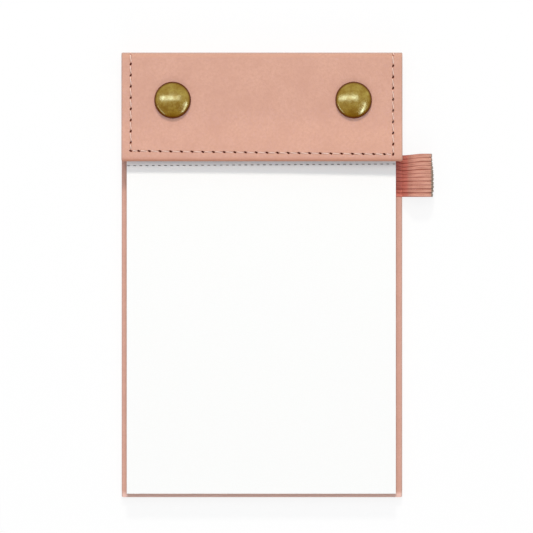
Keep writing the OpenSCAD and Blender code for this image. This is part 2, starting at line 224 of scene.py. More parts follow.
def gather(parts: Iterable[tuple[list[Point], list[list[int]]]]) -> tuple[list[Point], list[list[int]]]:
    """Puts several skins into one list of points and faces.

    Args:
        parts: Points and faces of each skin.

    Returns:
        All points and faces.
    """
    points: list[Point] = []
    faces: list[list[int]] = []
    for part_points, part_faces in parts:
        base = len(points)
        points += part_points
        faces += [[base + i for i in f] for f in part_faces]
    return points, faces


def lathe(name: str, profile: Sequence[Flat], centre: Flat, segments: int,
          shade_angle: float) -> bpy.types.Object:
    """Turns a closed profile round an upright axis.

    Args:
        name: Name of the object.
        profile: Radius and height of each corner, all the way round the section.
        centre: Place of the axis.
        segments: Number of steps round the axis.
        shade_angle: Angle in degrees above which an edge stays sharp.

    Returns:
        The new object.
    """
    points: list[Point] = []
    rows: list[list[int]] = []
    for radius, height in profile:
        if radius < 1e-6:
            rows.append([len(points)] * segments)
            points.append((centre[0], centre[1], height))
            continue
        rows.append([len(points) + j for j in range(segments)])
        for j in range(segments):
            turn = 2 * math.pi * j / segments
            points.append((centre[0] + radius * math.cos(turn), centre[1] + radius * math.sin(turn), height))
    faces: list[list[int]] = []
    for i, row in enumerate(rows):
        other = rows[(i + 1) % len(rows)]
        if row[0] == row[1] and other[0] == other[1]:
            continue
        for j in range(segments):
            k = (j + 1) % segments
            corner = [row[j], row[k], other[k], other[j]]
            faces.append(list(dict.fromkeys(corner)))
    return mesh_piece(name, points, faces, shade_angle=shade_angle)


def arc(centre: Flat, radius: float, start: float, end: float, steps: int) -> list[Flat]:
    """Points on an arc.

    Args:
        centre: Middle of the arc.
        radius: Its radius.
        start: First angle in degrees.
        end: Last angle in degrees.
        steps: Number of steps.

    Returns:
        The points, both ends included.
    """
    turns = [math.radians(start + (end - start) * i / steps) for i in range(steps + 1)]
    return [(centre[0] + radius * math.cos(t), centre[1] + radius * math.sin(t)) for t in turns]


def carve(piece: bpy.types.Object, parts: Iterable[tuple[list[Point], list[list[int]]]],
          finish: bpy.types.Material | None = None) -> None:
    """Cuts closed skins out of a piece that is still in millimetres.

    Args:
        piece: Object to cut.
        parts: Points and faces of each cutter; cutters of one call don't touch each other.
        finish: Material of the cut faces, or None for the piece's own.
    """
    points, faces = gather(parts)
    cutter = mesh_piece("cutter", points, faces, scale=1.0)
    if finish is not None:
        cutter.data.materials.append(finish)
    elif piece.data.materials:
        cutter.data.materials.append(piece.data.materials[0])
    cut = piece.modifiers.new("cut", "BOOLEAN")
    cut.operation = "DIFFERENCE"
    cut.solver = "EXACT"
    cut.material_mode = "TRANSFER"
    cut.object = cutter
    bpy.context.view_layer.update()
    result = bpy.data.meshes.new_from_object(piece.evaluated_get(bpy.context.evaluated_depsgraph_get()))
    piece.modifiers.clear()
    old, piece.data = piece.data, result
    bpy.data.meshes.remove(old)
    bpy.data.objects.remove(cutter)


def fill(tree: bpy.types.NodeTree, socket: bpy.types.NodeSocket, value: object) -> None:
    """Joins a socket to another one, or gives it a value.

    Args:
        tree: Tree that holds the socket.
        socket: Socket to fill.
        value: Another socket, a number, or a vector or colour of three parts.
    """
    if isinstance(value, bpy.types.NodeSocket):
        tree.links.new(value, socket)
    elif isinstance(value, tuple) and socket.type == "RGBA":
        socket.default_value = (*value, 1.0)
    else:
        socket.default_value = value


def add_node(tree: bpy.types.NodeTree, kind: str, settings: dict | None = None,
             **inputs: object) -> bpy.types.Node:
    """Adds a node to a tree.

    Args:
        tree: The tree.
        kind: Type of the node.
        settings: Options of the node, by name.
        inputs: Values or sockets, by the input's name with _ for a space.

    Returns:
        The node.
    """
    node = tree.nodes.new(kind)
    for key, value in (settings or {}).items():
        setattr(node, key, value)
    for key, value in inputs.items():
        fill(tree, node.inputs[key.replace("_", " ")], value)
    return node


def mix_shaders(tree: bpy.types.NodeTree, share: object, first: bpy.types.Node,
                second: bpy.types.Node) -> bpy.types.Node:
    """Mixes two shaders.

    Args:
        tree: Tree that holds them.
        share: How much of the second shader there is, as a number or a socket.
        first: Shader at 0.
        second: Shader at 1.

    Returns:
        The mixing node.
    """
    node = tree.nodes.new("ShaderNodeMixShader")
    for socket, value in zip(node.inputs, (share, first.outputs[0], second.outputs[0])):
        fill(tree, socket, value)
    return node


class Recipe:
    """A material under construction, with short calls to add and join its nodes."""

    def __init__(self, name: str) -> None:
        """Starts an empty material with one shader.

        Args:
            name: Name of the material.
        """
        self.material = bpy.data.materials.new(name)
        self.material.use_nodes = True
        self.tree = self.material.node_tree
        self.shader = self.tree.nodes["Principled BSDF"]
        self.place = self.add("ShaderNodeTexCoord").outputs["Object"]

    def add(self, kind: str, settings: dict | None = None, **inputs: object) -> bpy.types.Node:
        """Adds a node to the material, as add_node does."""
        return add_node(self.tree, kind, settings, **inputs)

    def noise(self, size: float, detail: float = 3.0, rough: float = 0.5) -> bpy.types.NodeSocket:
        """A cloudy pattern.

        Args:
            size: Width of one cloud, in millimetres.
            detail: Number of finer layers.
            rough: Strength of the finer layers.

        Returns:
            The pattern's value, about 0.5 on average.
        """
        node = self.add("ShaderNodeTexNoise", Vector=self.place, Scale=1 / (size * MM), Detail=detail,
                        Roughness=rough)
        return node.outputs["Factor"] if "Factor" in node.outputs else node.outputs[0]

    def cells(self, size: float) -> bpy.types.NodeSocket:
        """A pattern of pores: the distance from the middle of each cell.

        Args:
            size: Width of one cell, in millimetres.

        Returns:
            The distance, 0 in the middle of a cell.
        """
        node = self.add("ShaderNodeTexVoronoi", Vector=self.place, Scale=1 / (size * MM))
        return node.outputs["Distance"]

    def between(self, value: bpy.types.NodeSocket, low: float, high: float, to_low: float,
                to_high: float) -> bpy.types.NodeSocket:
        """Maps a value from one range to another, and cuts it there.

        Args:
            value: Socket to map.
            low: Value that becomes to_low.
            high: Value that becomes to_high.
            to_low: Result at low.
            to_high: Result at high.

        Returns:
            The mapped value.
        """
        node = self.add("ShaderNodeMapRange", Value=value, From_Min=low, From_Max=high, To_Min=to_low,
                        To_Max=to_high)
        return node.outputs["Result"]

    def mix(self, share: bpy.types.NodeSocket, first: object, second: object) -> bpy.types.NodeSocket:
        """Mixes two colours.

        Args:
            share: How much of the second colour there is.
            first: Colour or socket at 0.
            second: Colour or socket at 1.

        Returns:
            The mixed colour.
        """
        node = self.add("ShaderNodeMix", {"data_type": "RGBA"})
        for index, value in ((0, share), (6, first), (7, second)):
            fill(self.tree, node.inputs[index], value)
        return node.outputs[2]

    def total(self, first: bpy.types.NodeSocket, second: bpy.types.NodeSocket) -> bpy.types.NodeSocket:
        """Adds two values, and cuts the sum to 0 to 1."""
        node = self.add("ShaderNodeMath", {"operation": "ADD", "use_clamp": True})
        for index, value in enumerate((first, second)):
            fill(self.tree, node.inputs[index], value)
        return node.outputs[0]

    def relief(self, layers: Sequence[tuple[bpy.types.NodeSocket, float]]) -> None:
        """Gives the surface a fine relief.

        Args:
            layers: Pattern and height in millimetres of each layer.
        """
        normal: bpy.types.NodeSocket | None = None
        for pattern, height in layers:
            node = self.add("ShaderNodeBump", Height=pattern, Distance=abs(height) * MM)
            node.invert = height < 0
            if normal is not None:
                self.tree.links.new(normal, node.inputs["Normal"])
            normal = node.outputs["Normal"]
        if normal is not None:
            self.tree.links.new(normal, self.shader.inputs["Normal"])

    def set(self, **inputs: object) -> None:
        """Sets or joins inputs of the shader.

        Args:
            inputs: Values or sockets, by the input's name with _ for a space.
        """
        for key, value in inputs.items():
            fill(self.tree, self.shader.inputs[key.replace("_", " ")], value)


@dataclass(frozen=True)
class PaintedBand:
    """A strip along an edge of the cover with a painted tone: painted shade on the sides, over the top fold
    and at the flap's lower edge, painted light on the lining's strip below the pad.
    """

    clear: float
    full: float
    tone: Colour
    share: float
    axis: Axis = Axis.Y


@dataclass(frozen=True)
class GrainFinish:
    """Leather or lining: a fine grain with pores and faint clouds of tone."""

    name: str
    base: Colour
    deep: Colour
    pore: float = 0.42
    pore_height: float = 0.03
    cloud: float = 9.0
    roughness: float = 0.56
    specular: float = 0.32
    sheen: float = 0.0
    painted_bands: tuple[PaintedBand, ...] = ()

    def material(self) -> bpy.types.Material:
        """Builds the material."""
        r = Recipe(self.name)
        clouds = r.between(r.noise(self.cloud, 4, 0.6), 0.32, 0.7, 0.0, 0.7)
        grain = r.between(r.noise(self.pore * 2.0, 3, 0.7), 0.36, 0.66, 0.0, 0.8)
        tone = r.mix(grain, r.mix(clouds, self.base, self.deep), self.deep)
        # Painted strips along the edges: painted shade, and painted light on the lining's strip below the
        # pad.
        if self.painted_bands:
            place = r.add("ShaderNodeSeparateXYZ", Vector=r.place).outputs
            for band in self.painted_bands:
                share = r.between(place[band.axis.value], band.clear * MM, band.full * MM, 0.0, band.share)
                tone = r.mix(share, tone, band.tone)
        r.set(Base_Color=tone,
              Roughness=r.between(r.noise(1.3, 3), 0.3, 0.7, self.roughness - 0.05, self.roughness + 0.07),
              Specular_IOR_Level=self.specular, Sheen_Weight=self.sheen)
        r.relief([(r.noise(14.0, 2), 0.1), (r.cells(self.pore), self.pore_height),
                  (r.noise(self.pore * 2.2, 2), 0.04), (r.noise(0.16, 2), 0.012)])
        return r.material


@dataclass(frozen=True)
class FibreFinish:
    """Paper, card or the raw cut of leather: short fibres and a dull face."""

    name: str
    base: Colour
    deep: Colour
    fibre: float = 0.25
    height: float = 0.01
    roughness: float = 0.85
    specular: float = 0.2

    def material(self) -> bpy.types.Material:
        """Builds the material."""
        r = Recipe(self.name)
        fibres = r.between(r.noise(self.fibre, 4, 0.65), 0.35, 0.7, 0.0, 1.0)
        r.set(Base_Color=r.mix(fibres, self.base, self.deep),
              Roughness=r.between(r.noise(2.0, 2), 0.3, 0.7, self.roughness - 0.04, self.roughness + 0.04),
              Specular_IOR_Level=self.specular)
        r.relief([(r.noise(self.fibre, 3), self.height), (r.noise(self.fibre * 6, 2), self.height)])
        return r.material


@dataclass(frozen=True)
class MetalFinish:
    """Aged metal: a mottled face, with painted shade and dark reflection in a ring round the rim."""

    name: str
    bright: Colour
    dull: Colour
    rim: Colour
    roughness: float = 0.17
    centre: Flat = (0.0, 0.0)
    rim_shade_radius: float = 6.2
    rim_shade_width: float = 0.9

    def material(self) -> bpy.types.Material:
        """Builds the material."""
        r = Recipe(self.name)
        blotches = r.between(r.noise(3.0, 5, 0.62), 0.34, 0.68, 0.0, 1.0)
        specks = r.between(r.noise(0.5, 3, 0.7), 0.45, 0.75, 0.0, 0.6)
        face = r.mix(specks, r.mix(blotches, self.bright, self.dull), self.dull)
        split = r.add("ShaderNodeSeparateXYZ", Vector=r.place)
        across = r.add("ShaderNodeCombineXYZ", X=split.outputs["X"], Y=split.outputs["Y"])
        middle = (self.centre[0] * MM, self.centre[1] * MM, 0.0)
        gap = r.add("ShaderNodeVectorMath", {"operation": "DISTANCE"})
        for index, value in enumerate((across.outputs["Vector"], middle)):
            fill(r.tree, gap.inputs[index], value)
        # Painted shade and dark reflection: the rim colour fills a ring just inside the rim.
        edge = r.between(gap.outputs["Value"], (self.rim_shade_radius - self.rim_shade_width) * MM,
                         (self.rim_shade_radius - 0.15) * MM, 0.0, 1.0)
        r.set(Base_Color=r.mix(edge, face, self.rim), Metallic=1.0,
              Roughness=r.between(r.noise(1.6, 3), 0.35, 0.7, self.roughness - 0.03, self.roughness + 0.05))
        r.relief([(r.noise(2.4, 1), 0.0016)])
        return r.material


@dataclass(frozen=True)
class ThreadFinish:
    """Waxed sewing thread with fine fibres along it."""

    name: str
    base: Colour
    deep: Colour

    def material(self) -> bpy.types.Material:
        """Builds the material."""
        r = Recipe(self.name)
        fibres = r.between(r.noise(0.11, 3), 0.35, 0.7, 0.0, 1.0)
        r.set(Base_Color=r.mix(fibres, self.base, self.deep), Roughness=0.6, Specular_IOR_Level=0.3,
              Sheen_Weight=0.15)
        r.relief([(r.noise(0.09, 2), 0.012)])
        return r.material


@dataclass(frozen=True)
class ElasticFinish:
    """Ribbed elastic: pale ribs with painted shade in the furrows, a deeper tone where it leaves the cover,
    and painted shade along its outer end.
    """

    name: str
    base: Colour
    furrow: Colour
    inner: Colour
    inner_furrow_shade: Colour
    tip: Colour
    inner_end: float = 49.5
    pale_end: float = 55.5
    tip_shade_end: float = 57.6
    inner_step: float = 0.72
    tip_shade_share: float = 0.85

    def material(self) -> bpy.types.Material:
        """Builds the material."""
        r = Recipe(self.name)
        # The furrow attribute is each furrow's depth, used as the share of painted shade in the furrows.
        depth = r.add("ShaderNodeAttribute", {"attribute_name": "furrow"}).outputs["Fac"]
        threads = r.between(r.noise(0.2, 3), 0.3, 0.7, -0.12, 0.16)
        share = r.total(depth, threads)
        outer = r.mix(share, self.base, self.furrow)
        inner = r.mix(share, self.inner, self.inner_furrow_shade)
        along = r.add("ShaderNodeSeparateXYZ", Vector=r.place).outputs["X"]
        turn = (self.inner_end + 0.45) * MM
        step = r.between(along, (self.inner_end - 0.55) * MM, turn, 0.0, self.inner_step)
        rest = r.between(along, turn, self.pale_end * MM, 0.0, 1 - self.inner_step)
        # Painted shade along the loop's outer end, where the band turns away from the light.
        tip = r.between(along, (self.tip_shade_end - 0.5) * MM, (self.tip_shade_end - 0.1) * MM, 0.0, self.tip_shade_share)
        r.set(Base_Color=r.mix(tip, r.mix(r.total(step, rest), inner, outer), self.tip), Roughness=0.72,
              Specular_IOR_Level=0.22, Sheen_Weight=0.1)
        r.relief([(r.noise(0.16, 2), 0.03)])
        return r.material


# Painted shade: a greyer, darker tone along the cover's sides and its top edge.
EDGE_SHADE = colour(178, 148, 137)
SIDE_SHADE_BANDS = (PaintedBand(46.95, 47.45, EDGE_SHADE, 0.6, Axis.X), PaintedBand(-46.95, -47.45, EDGE_SHADE, 0.6, Axis.X))
LEATHER = GrainFinish("leather_grain", colour(221, 171, 147), colour(208, 157, 134), painted_bands=SIDE_SHADE_BANDS)
# Painted shade on the flap's leather: a deeper, warmer strip at its rounded lower edge, a darker strip over
# the top fold where the fold turns to the light, and the darker tone along the top edge.
HIGH_LEATHER = GrainFinish("flap_leather_grain", LEATHER.base, LEATHER.deep,
                           painted_bands=(PaintedBand(40.0, 38.7, colour(205, 134, 106), 0.6),
                                  PaintedBand(72.8, 75.1, colour(185, 140, 122), 0.55), PaintedBand(74.5, 75.2, EDGE_SHADE, 0.7),
                                  *SIDE_SHADE_BANDS))
# Painted light on the lining's strip below the pad, where the pad's shadow falls; painted shade along its
# sides.
LINING = GrainFinish("lining_grain", colour(218, 170, 153), colour(207, 158, 141), pore=0.3, pore_height=0.02,
                     roughness=0.7, specular=0.2, sheen=0.08,
                     painted_bands=(PaintedBand(-73.2, -74.2, colour(240, 198, 184), 0.9), *SIDE_SHADE_BANDS))
CUT_EDGE = FibreFinish("leather_cut_edge", colour(205, 150, 127), colour(190, 132, 108), fibre=0.3,
                       height=0.03, roughness=0.6, specular=0.3)
# Painted shade inside the needle holes: a dark maroon on the cut faces of each slit.
NEEDLE_HOLE_SHADE = FibreFinish("needle_hole_shade", colour(150, 74, 56), colour(118, 50, 36), roughness=0.9,
                          specular=0.05)
PAPER = FibreFinish("paper", colour(253, 253, 252), colour(250, 250, 248), fibre=0.35, height=0.004,
                    roughness=0.9)
CARD = FibreFinish("greyboard", colour(190, 182, 168), colour(166, 156, 142), fibre=0.5, height=0.03)
GLUE = FibreFinish("binding_glue", colour(240, 238, 228), colour(226, 223, 211), fibre=1.2, height=0.05,
                   roughness=0.45, specular=0.45)
THREAD = ThreadFinish("thread", colour(246, 216, 201), colour(226, 187, 170))
# The second and fourth colours are painted shade in the furrows between the ribs; the last one is painted
# shade along the loop's outer end.
ELASTIC = ElasticFinish("elastic", colour(231, 173, 151), colour(152, 88, 69), colour(226, 136, 118),
                        colour(156, 74, 60), colour(128, 122, 106))
# The third colour is painted shade and dark reflection in a ring round the cap's rim.
BRASS = MetalFinish("aged_brass", colour(176, 154, 78), colour(140, 107, 38), colour(98, 48, 16))
STEEL = MetalFinish("spring_steel", colour(196, 196, 194), colour(150, 150, 148), colour(150, 150, 148))


@dataclass(frozen=True)
class Fold:
    """The cover's flat pattern and how it is folded round the pad.

    A point of the pattern has x across the cover, s along its outer face and d under that face.
    s is 0 at the high fold's line, negative on the flap, and positive down the spine and along the back.
    """

    width: float = 95.0
    length: float = 150.5
    height: float = 7.9
    radius: float = 2.1
    leather: float = 1.2
    lining: float = 0.7
    flap: float = 36.8
    lift_left: float = 1.4
    lift_right: float = 2.25
    lift_start: float = -19.0

    @property
    def edge_y(self) -> float:
        """Place of the outside of the spine."""
        return self.length / 2

    @property
    def line_y(self) -> float:
        """Place of both folds' lines."""
        return self.edge_y - self.radius

    @property
    def run(self) -> float:
        """Length of one fold along the outer face."""
        return self.radius * math.pi / 2

    @property
    def low_s(self) -> float:
        """Where the low fold starts."""
        return self.run + self.height - 2 * self.radius

    @property
    def round_s(self) -> float:
        """Where the back starts."""
        return self.low_s + self.run

    @property
    def middle_s(self) -> float:
        """Middle of the spine, where the low and the high pieces meet."""
        return self.round_s / 2

    @property
    def flap_s(self) -> float:
        """Lower edge of the flap."""
        return self.radius - self.flap

    @property
    def back_s(self) -> float:
        """Bottom edge of the back."""
        return self.round_s + self.line_y + self.edge_y

    @property
    def thickness(self) -> float:
        """Thickness of leather and lining together."""
        return self.leather + self.lining

    def back_s_at(self, y: float) -> float:
        """Place along the pattern of a point of the back."""
        return self.round_s + self.line_y - y

    def lift(self, x: float, s: float) -> float:
        """How far the flap's free edge stands off the pad.

        Args:
            x: Place across the cover.
            s: Place along the pattern.

        Returns:
            The lift, in millimetres.
        """
        share = smooth((self.lift_start - s) / (self.lift_start - self.flap_s))
        side = (x / self.width + 0.5) ** 2
        return share * (self.lift_left + (self.lift_right - self.lift_left) * side)

    def place(self, point: Point) -> Point:
        """Folds one point of the pattern into its place.

        Args:
            point: x, s and the height over the outer face, which is negative inside the cover.

        Returns:
            The point in the row frame, in millimetres.
        """
        x, s, over = point
        if s <= 0:
            return x, self.line_y + s, self.height + over + self.lift(x, s)
        if s < self.run:
            turn = s / self.radius
            reach = self.radius + over
            return x, self.line_y + reach * math.sin(turn), self.height - self.radius + reach * math.cos(turn)
        if s <= self.low_s:
            return x, self.edge_y + over, self.height - self.radius - (s - self.run)
        if s < self.round_s:
            turn = (s - self.low_s) / self.radius
            reach = self.radius + over
            return x, self.line_y + reach * math.cos(turn), self.radius - reach * math.sin(turn)
        return x, self.line_y - (s - self.round_s), -over

    def apply(self, piece: bpy.types.Object) -> None:
        """Folds a whole piece that was made flat, in millimetres, and turns it into metres."""
        for vertex in piece.data.vertices:
            vertex.co = Vector(self.place(tuple(vertex.co))) * MM
        piece.data.update()

    def rows(self, start: float, end: float, step: float = 2.4, bend_step: float = 0.17) -> list[float]:
        """Places of the cross rows between two ends of the pattern, close together round the folds.

        Args:
            start: First place.
            end: Last place.
            step: Distance on level stretches.
            bend_step: Distance round the folds.

        Returns:
            The places in order.
        """
        near = 3.2
        stretches = [(self.flap_s, -near, step), (-near, 0.0, 0.4), (0.0, self.run, bend_step),
                     (self.run, self.low_s, 0.31), (self.low_s, self.round_s, bend_step),
                     (self.round_s, self.round_s + near, 0.4), (self.round_s + near, self.back_s, step)]
        found: list[float] = []
        for a, b, gap in stretches:
            low, high = max(a, start), min(b, end)
            if high - low > 1e-6:
                found += spread(low, high, gap)
        return unique(found)


def unique(values: Iterable[float]) -> list[float]:
    """Sorted values without near repeats."""
    found: list[float] = []
    for value in sorted(values):
        if not found or value - found[-1] > 1e-4:
            found.append(value)
    return found


@dataclass(frozen=True)
class Bend:
    """The stretch at the low fold where a piece would bend between its bodies; the high fold has its mirror
    image. No piece is bent over it.
    """

    start: float
    end: float

    def points(self, fold: Fold, high: bool) -> tuple[Vector, Vector]:
        """First and last point of the bend, in metres.

        Args:
            fold: The folded cover.
            high: Whether it is the high fold's.

        Returns:
            The two points, from the first body to the second.
        """
        low_points = [Vector((0, fold.line_y + r, fold.radius + r)) for r in (self.start, self.end)]
        if not high:
            return low_points[0] * MM, low_points[1] * MM
        mirrored = [Vector((0, p.y, fold.height - p.z)) for p in reversed(low_points)]
        return mirrored[0] * MM, mirrored[1] * MM


# The high lining's stretch is the shorter one, so that it would not bulge into the pad's glue; no piece is
# bent over these stretches.
LEATHER_BEND = Bend(-1.9, 1.1)
LINING_BEND = {False: Bend(-0.55, 1.02), True: Bend(-0.55, 0.6)}


def bend_piece(piece: bpy.types.Object, high: bool) -> None:
    """Bakes a piece's transform into its mesh; the piece is not bent between the two bodies that meet at a
    fold.

    Args:
        piece: Final mesh.
        high: Whether it crosses the high fold.
    """
    if high:
        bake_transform(piece)
    else:
        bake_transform(piece)


@dataclass
class Seam:
    """The seam round the cover: where its holes are, and the threads between them.

    A slit is half its length and half its width; a groove is its depth, then half its width at its floor and
    at the face; a dip is how deep a thread's end goes, over what length, and how far from the hole's middle.
    """

    fold: Fold
    inset: float = 3.15
    flap_inset: float = 3.5
    tilt: float = 0.76
    side_pitch: float = 3.79
    row_pitch: float = 3.61
    row_first: float = 2.7
    first: dict[Side, float] = field(default_factory=lambda: {Side.LEFT: 2.82, Side.RIGHT: 3.4})
    thread: float = 0.44
    proud: float = 0.13
    twist_pitch: float = 1.1
    side_turn: float = 65.0
    row_turn: float = -23.0
    outer_slit: Flat = (0.58, 0.34)
    inner_slit: Flat = (0.42, 0.17)
    bend_slit: Flat = (0.26, 0.16)
    bend_margin: float = 0.8
    outer_groove: Triple = (0.3, 0.15, 0.27)
    inner_groove: Triple = (0.33, 0.16, 0.24)
    outer_dip: Triple = (0.62, 0.5, 0.36)
    inner_dip: Triple = (0.26, 0.5, 0.1)
    bend_clear: float = 0.12
    corners: int = 10

    @property
    def x(self) -> float:
        """Distance of the side seams from the cover's middle."""
        return self.fold.width / 2 - self.inset

    def row_s(self, x: float) -> float:
        """Place of the flap's row along the pattern."""
        return self.fold.flap_s + self.flap_inset - (x + self.x) * math.tan(math.radians(self.tilt))

    @property
    def back_row_s(self) -> float:
        """Place of the back's row along the pattern."""
        return self.fold.back_s - self.inset

    @staticmethod
    def holes(start: float, end: float, first: float, pitch: float) -> list[float]:
        """Needle holes from start to end: a first stitch, equal stitches, and a last one.

        Args:
            start: First hole.
            end: Last hole.
            first: Length of the first stitch.
            pitch: Length of the other stitches.

        Returns:
            The places of the holes.
        """
        found = [start]
        place = start + first
        while place <= end - pitch / 2 + 1e-9:
            found.append(place)
            place += pitch
        return [*found, end]

    def side_holes(self, side: Side) -> list[float]:
        """Needle holes of one side's whole seam, from the flap's corner to the back's."""
        return self.holes(self.row_s(side.value * self.x), self.back_row_s, self.first[side], self.side_pitch)

    def row_holes(self) -> list[float]:
        """Needle holes of a row, by x."""
        return self.holes(-self.x, self.x, self.row_first, self.row_pitch)

    def stitches(self, start: float, end: float) -> list[tuple[Flat, Flat]]:
        """Stitches that lie between two ends of the pattern, cut there.

        Args:
            start: First place.
            end: Last place.

        Returns:
            Both ends of each stitch, as x and s.
        """
        found: list[tuple[Flat, Flat]] = []
        for side in Side:
            x, places = side.value * self.x, self.side_holes(side)
            for a, b in zip(places, places[1:]):
                low, high = max(a, start), min(b, end)
                if high - low > 0.2:
                    found.append(((x, low), (x, high)))
        across = self.row_holes()
        for a, b in zip(across, across[1:]):
            if start <= self.row_s(a) <= end:
                found.append(((a, self.row_s(a)), (b, self.row_s(b))))
            if start <= self.back_row_s <= end:
                found.append(((a, self.back_row_s), (b, self.back_row_s)))
        return found

    def on_bend(self, s: float) -> bool:
        """Whether a hole is where the cover bends round the pad's edge."""
        near = self.bend_margin
        bends = [(0.0, self.fold.run), (self.fold.low_s, self.fold.round_s)]
        return any(a - near < s < b + near for a, b in bends)

    def slit(self, x: float, s: float, turn: float, face: Face) -> tuple[list[Point], list[list[int]]]:
        """Cutter of one needle hole, a slanted slit that narrows as it goes in.

        Args:
            x: Middle of the hole.
            s: Middle of the hole, along the pattern.
            turn: Slant in degrees.
            face: Face of the cover that it is seen on.

        Returns:
            The cutter's points and faces.
        """
        outer = face is Face.OUTER
        levels = [(0.4, 1.16), (0.0, 1.0), (-0.5, 0.8), (-0.9, 0.62)] if outer else [(0.3, 0.8), (-0.45, 0.6)]
        long, wide = self.outer_slit if outer else self.inner_slit
        if self.on_bend(s):
            long, wide = self.bend_slit
        rings: list[Ring] = []
        for level, share in levels:
            ring: Ring = []
            for j in range(self.corners):
                angle = 2 * math.pi * j / self.corners
                u, v = long * share * math.cos(angle), wide * share * math.sin(angle)
                c, n = math.cos(math.radians(turn)), math.sin(math.radians(turn))
                over = level if outer else -self.fold.thickness - level
                ring.append((x + u * c - v * n, s + u * n + v * c, over))
            rings.append(ring)
        return hull_of_rings(rings)

    def slits(self, start: float, end: float, face: Face) -> list[tuple[list[Point], list[list[int]]]]:
        """Cutters of all needle holes between two ends of the pattern.

        Args:
            start: First place.
            end: Last place.
            face: Face of the cover.

        Returns:
            The cutters.
        """
        found = []
        for side in Side:
            for s in self.side_holes(side)[1:-1]:
                hidden = face is Face.INNER and self.on_bend(s)
                if start + 0.3 < s < end - 0.3 and not hidden:
                    found.append(self.slit(side.value * self.x, s, self.side_turn, face))
        for x in self.row_holes():
            corner = abs(x) > self.x - 0.01
            turn = self.side_turn if corner and x > 0 else self.row_turn
            for s in (self.row_s(x), self.back_row_s):
                if start < s < end:
                    found.append(self.slit(x, s, turn, face))
        return found

    def groove(self, path: Sequence[Flat], face: Face) -> tuple[list[Point], list[list[int]]]:
        """Cutter of the shallow groove that the thread lies in.

        Args:
            path: Points along the groove, as x and s.
            face: Face of the cover.

        Returns:
            The cutter's points and faces.
        """
        outer = face is Face.OUTER
        depth, floor, top = self.outer_groove if outer else self.inner_groove
        section = [(-floor, -depth), (floor, -depth), (top, 0.0), (top + 0.12, 0.2), (-top - 0.12, 0.2),
                   (-top, 0.0)]
        rings: list[Ring] = []
        for i, (x, s) in enumerate(path):
            before, after = path[max(0, i - 1)], path[min(len(path) - 1, i + 1)]
            along = Vector((after[0] - before[0], after[1] - before[1])).normalized()
            ring: Ring = []
            for u, level in section:
                over = level if outer else -self.fold.thickness - level
                ring.append((x - along.y * u, s + along.x * u, over))
            rings.append(ring)
        return hull_of_rings(rings)

    def strand(self, ends: tuple[Flat, Flat], face: Face, lean: float) -> tuple[list[Point], list[list[int]]]:
        """One stitch: a twisted thread that dips into the hole at each end.

        Args:
            ends: Both ends, as x and s.
            face: Face of the cover.
            lean: How far its ends stand aside from the holes' middles.

        Returns:
            The points and faces, in the flat pattern.
        """
        (x0, s0), (x1, s1) = ends
        along = Vector((x1 - x0, s1 - s0))
        length = along.length
        along.normalize()
        outer = face is Face.OUTER
        radius = self.thread / 2 if outer else self.thread * 0.4
        level = self.proud - radius if outer else -0.02 - radius
        dip, reach, clear = self.outer_dip if outer else self.inner_dip
        first, last = (min(clear, self.bend_clear) if self.on_bend(s) else clear for s in (s0, s1))
        rings: list[Ring] = []
        for t in spread(first, length - last, 0.2):
            near = min(t - first, length - last - t)
            sink = dip * (1 - smooth(near / reach)) if length > 2 * (clear + reach) else 0.0
            aside = lean * math.cos(math.pi * t / length)
            centre = (x0 + along.x * t - along.y * aside, s0 + along.y * t + along.x * aside)
            ring: Ring = []
            for j in range(self.corners):
                angle = 2 * math.pi * j / self.corners
                lobe = radius * (0.9 + 0.1 * math.cos(3 * (angle - 2 * math.pi * t / self.twist_pitch)))
                u, v = lobe * math.cos(angle), lobe * math.sin(angle)
                up = level - sink + v
                over = up if outer else -self.fold.thickness - up
                ring.append((centre[0] - along.y * u, centre[1] + along.x * u, over))
            rings.append(ring)
        return hull_of_rings(rings)

    def build_threads(self, name: str, high: bool, replaced: Sequence[str]) -> bpy.types.Object:
        """Builds the threads on one side of the spine's middle.

        Args:
            name: Name of the piece.
            high: Whether it is the flap's half.
            replaced: CAD nodes that the piece stands for.

        Returns:
            The piece.
        """
        fold = self.fold
        start, end = (fold.flap_s, fold.middle_s) if high else (fold.middle_s, fold.back_s)
        parts = []
        for ends in self.stitches(start, end):
            level = abs(ends[0][1] - ends[1][1]) < 0.5
            parts.append(self.strand(ends, Face.OUTER, 0.1 if level else -0.14))
        if high:
            parts += [self.strand(ends, Face.INNER, 0.05) for ends in self.stitches(start, -0.9)]
        points, faces = gather(parts)
        piece = mesh_piece(name, points, faces, scale=1.0, shade_angle=60)
        fold.apply(piece)
        piece.data.materials.append(THREAD.material())
        bend_piece(piece, high)
        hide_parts(*replaced)
        return piece


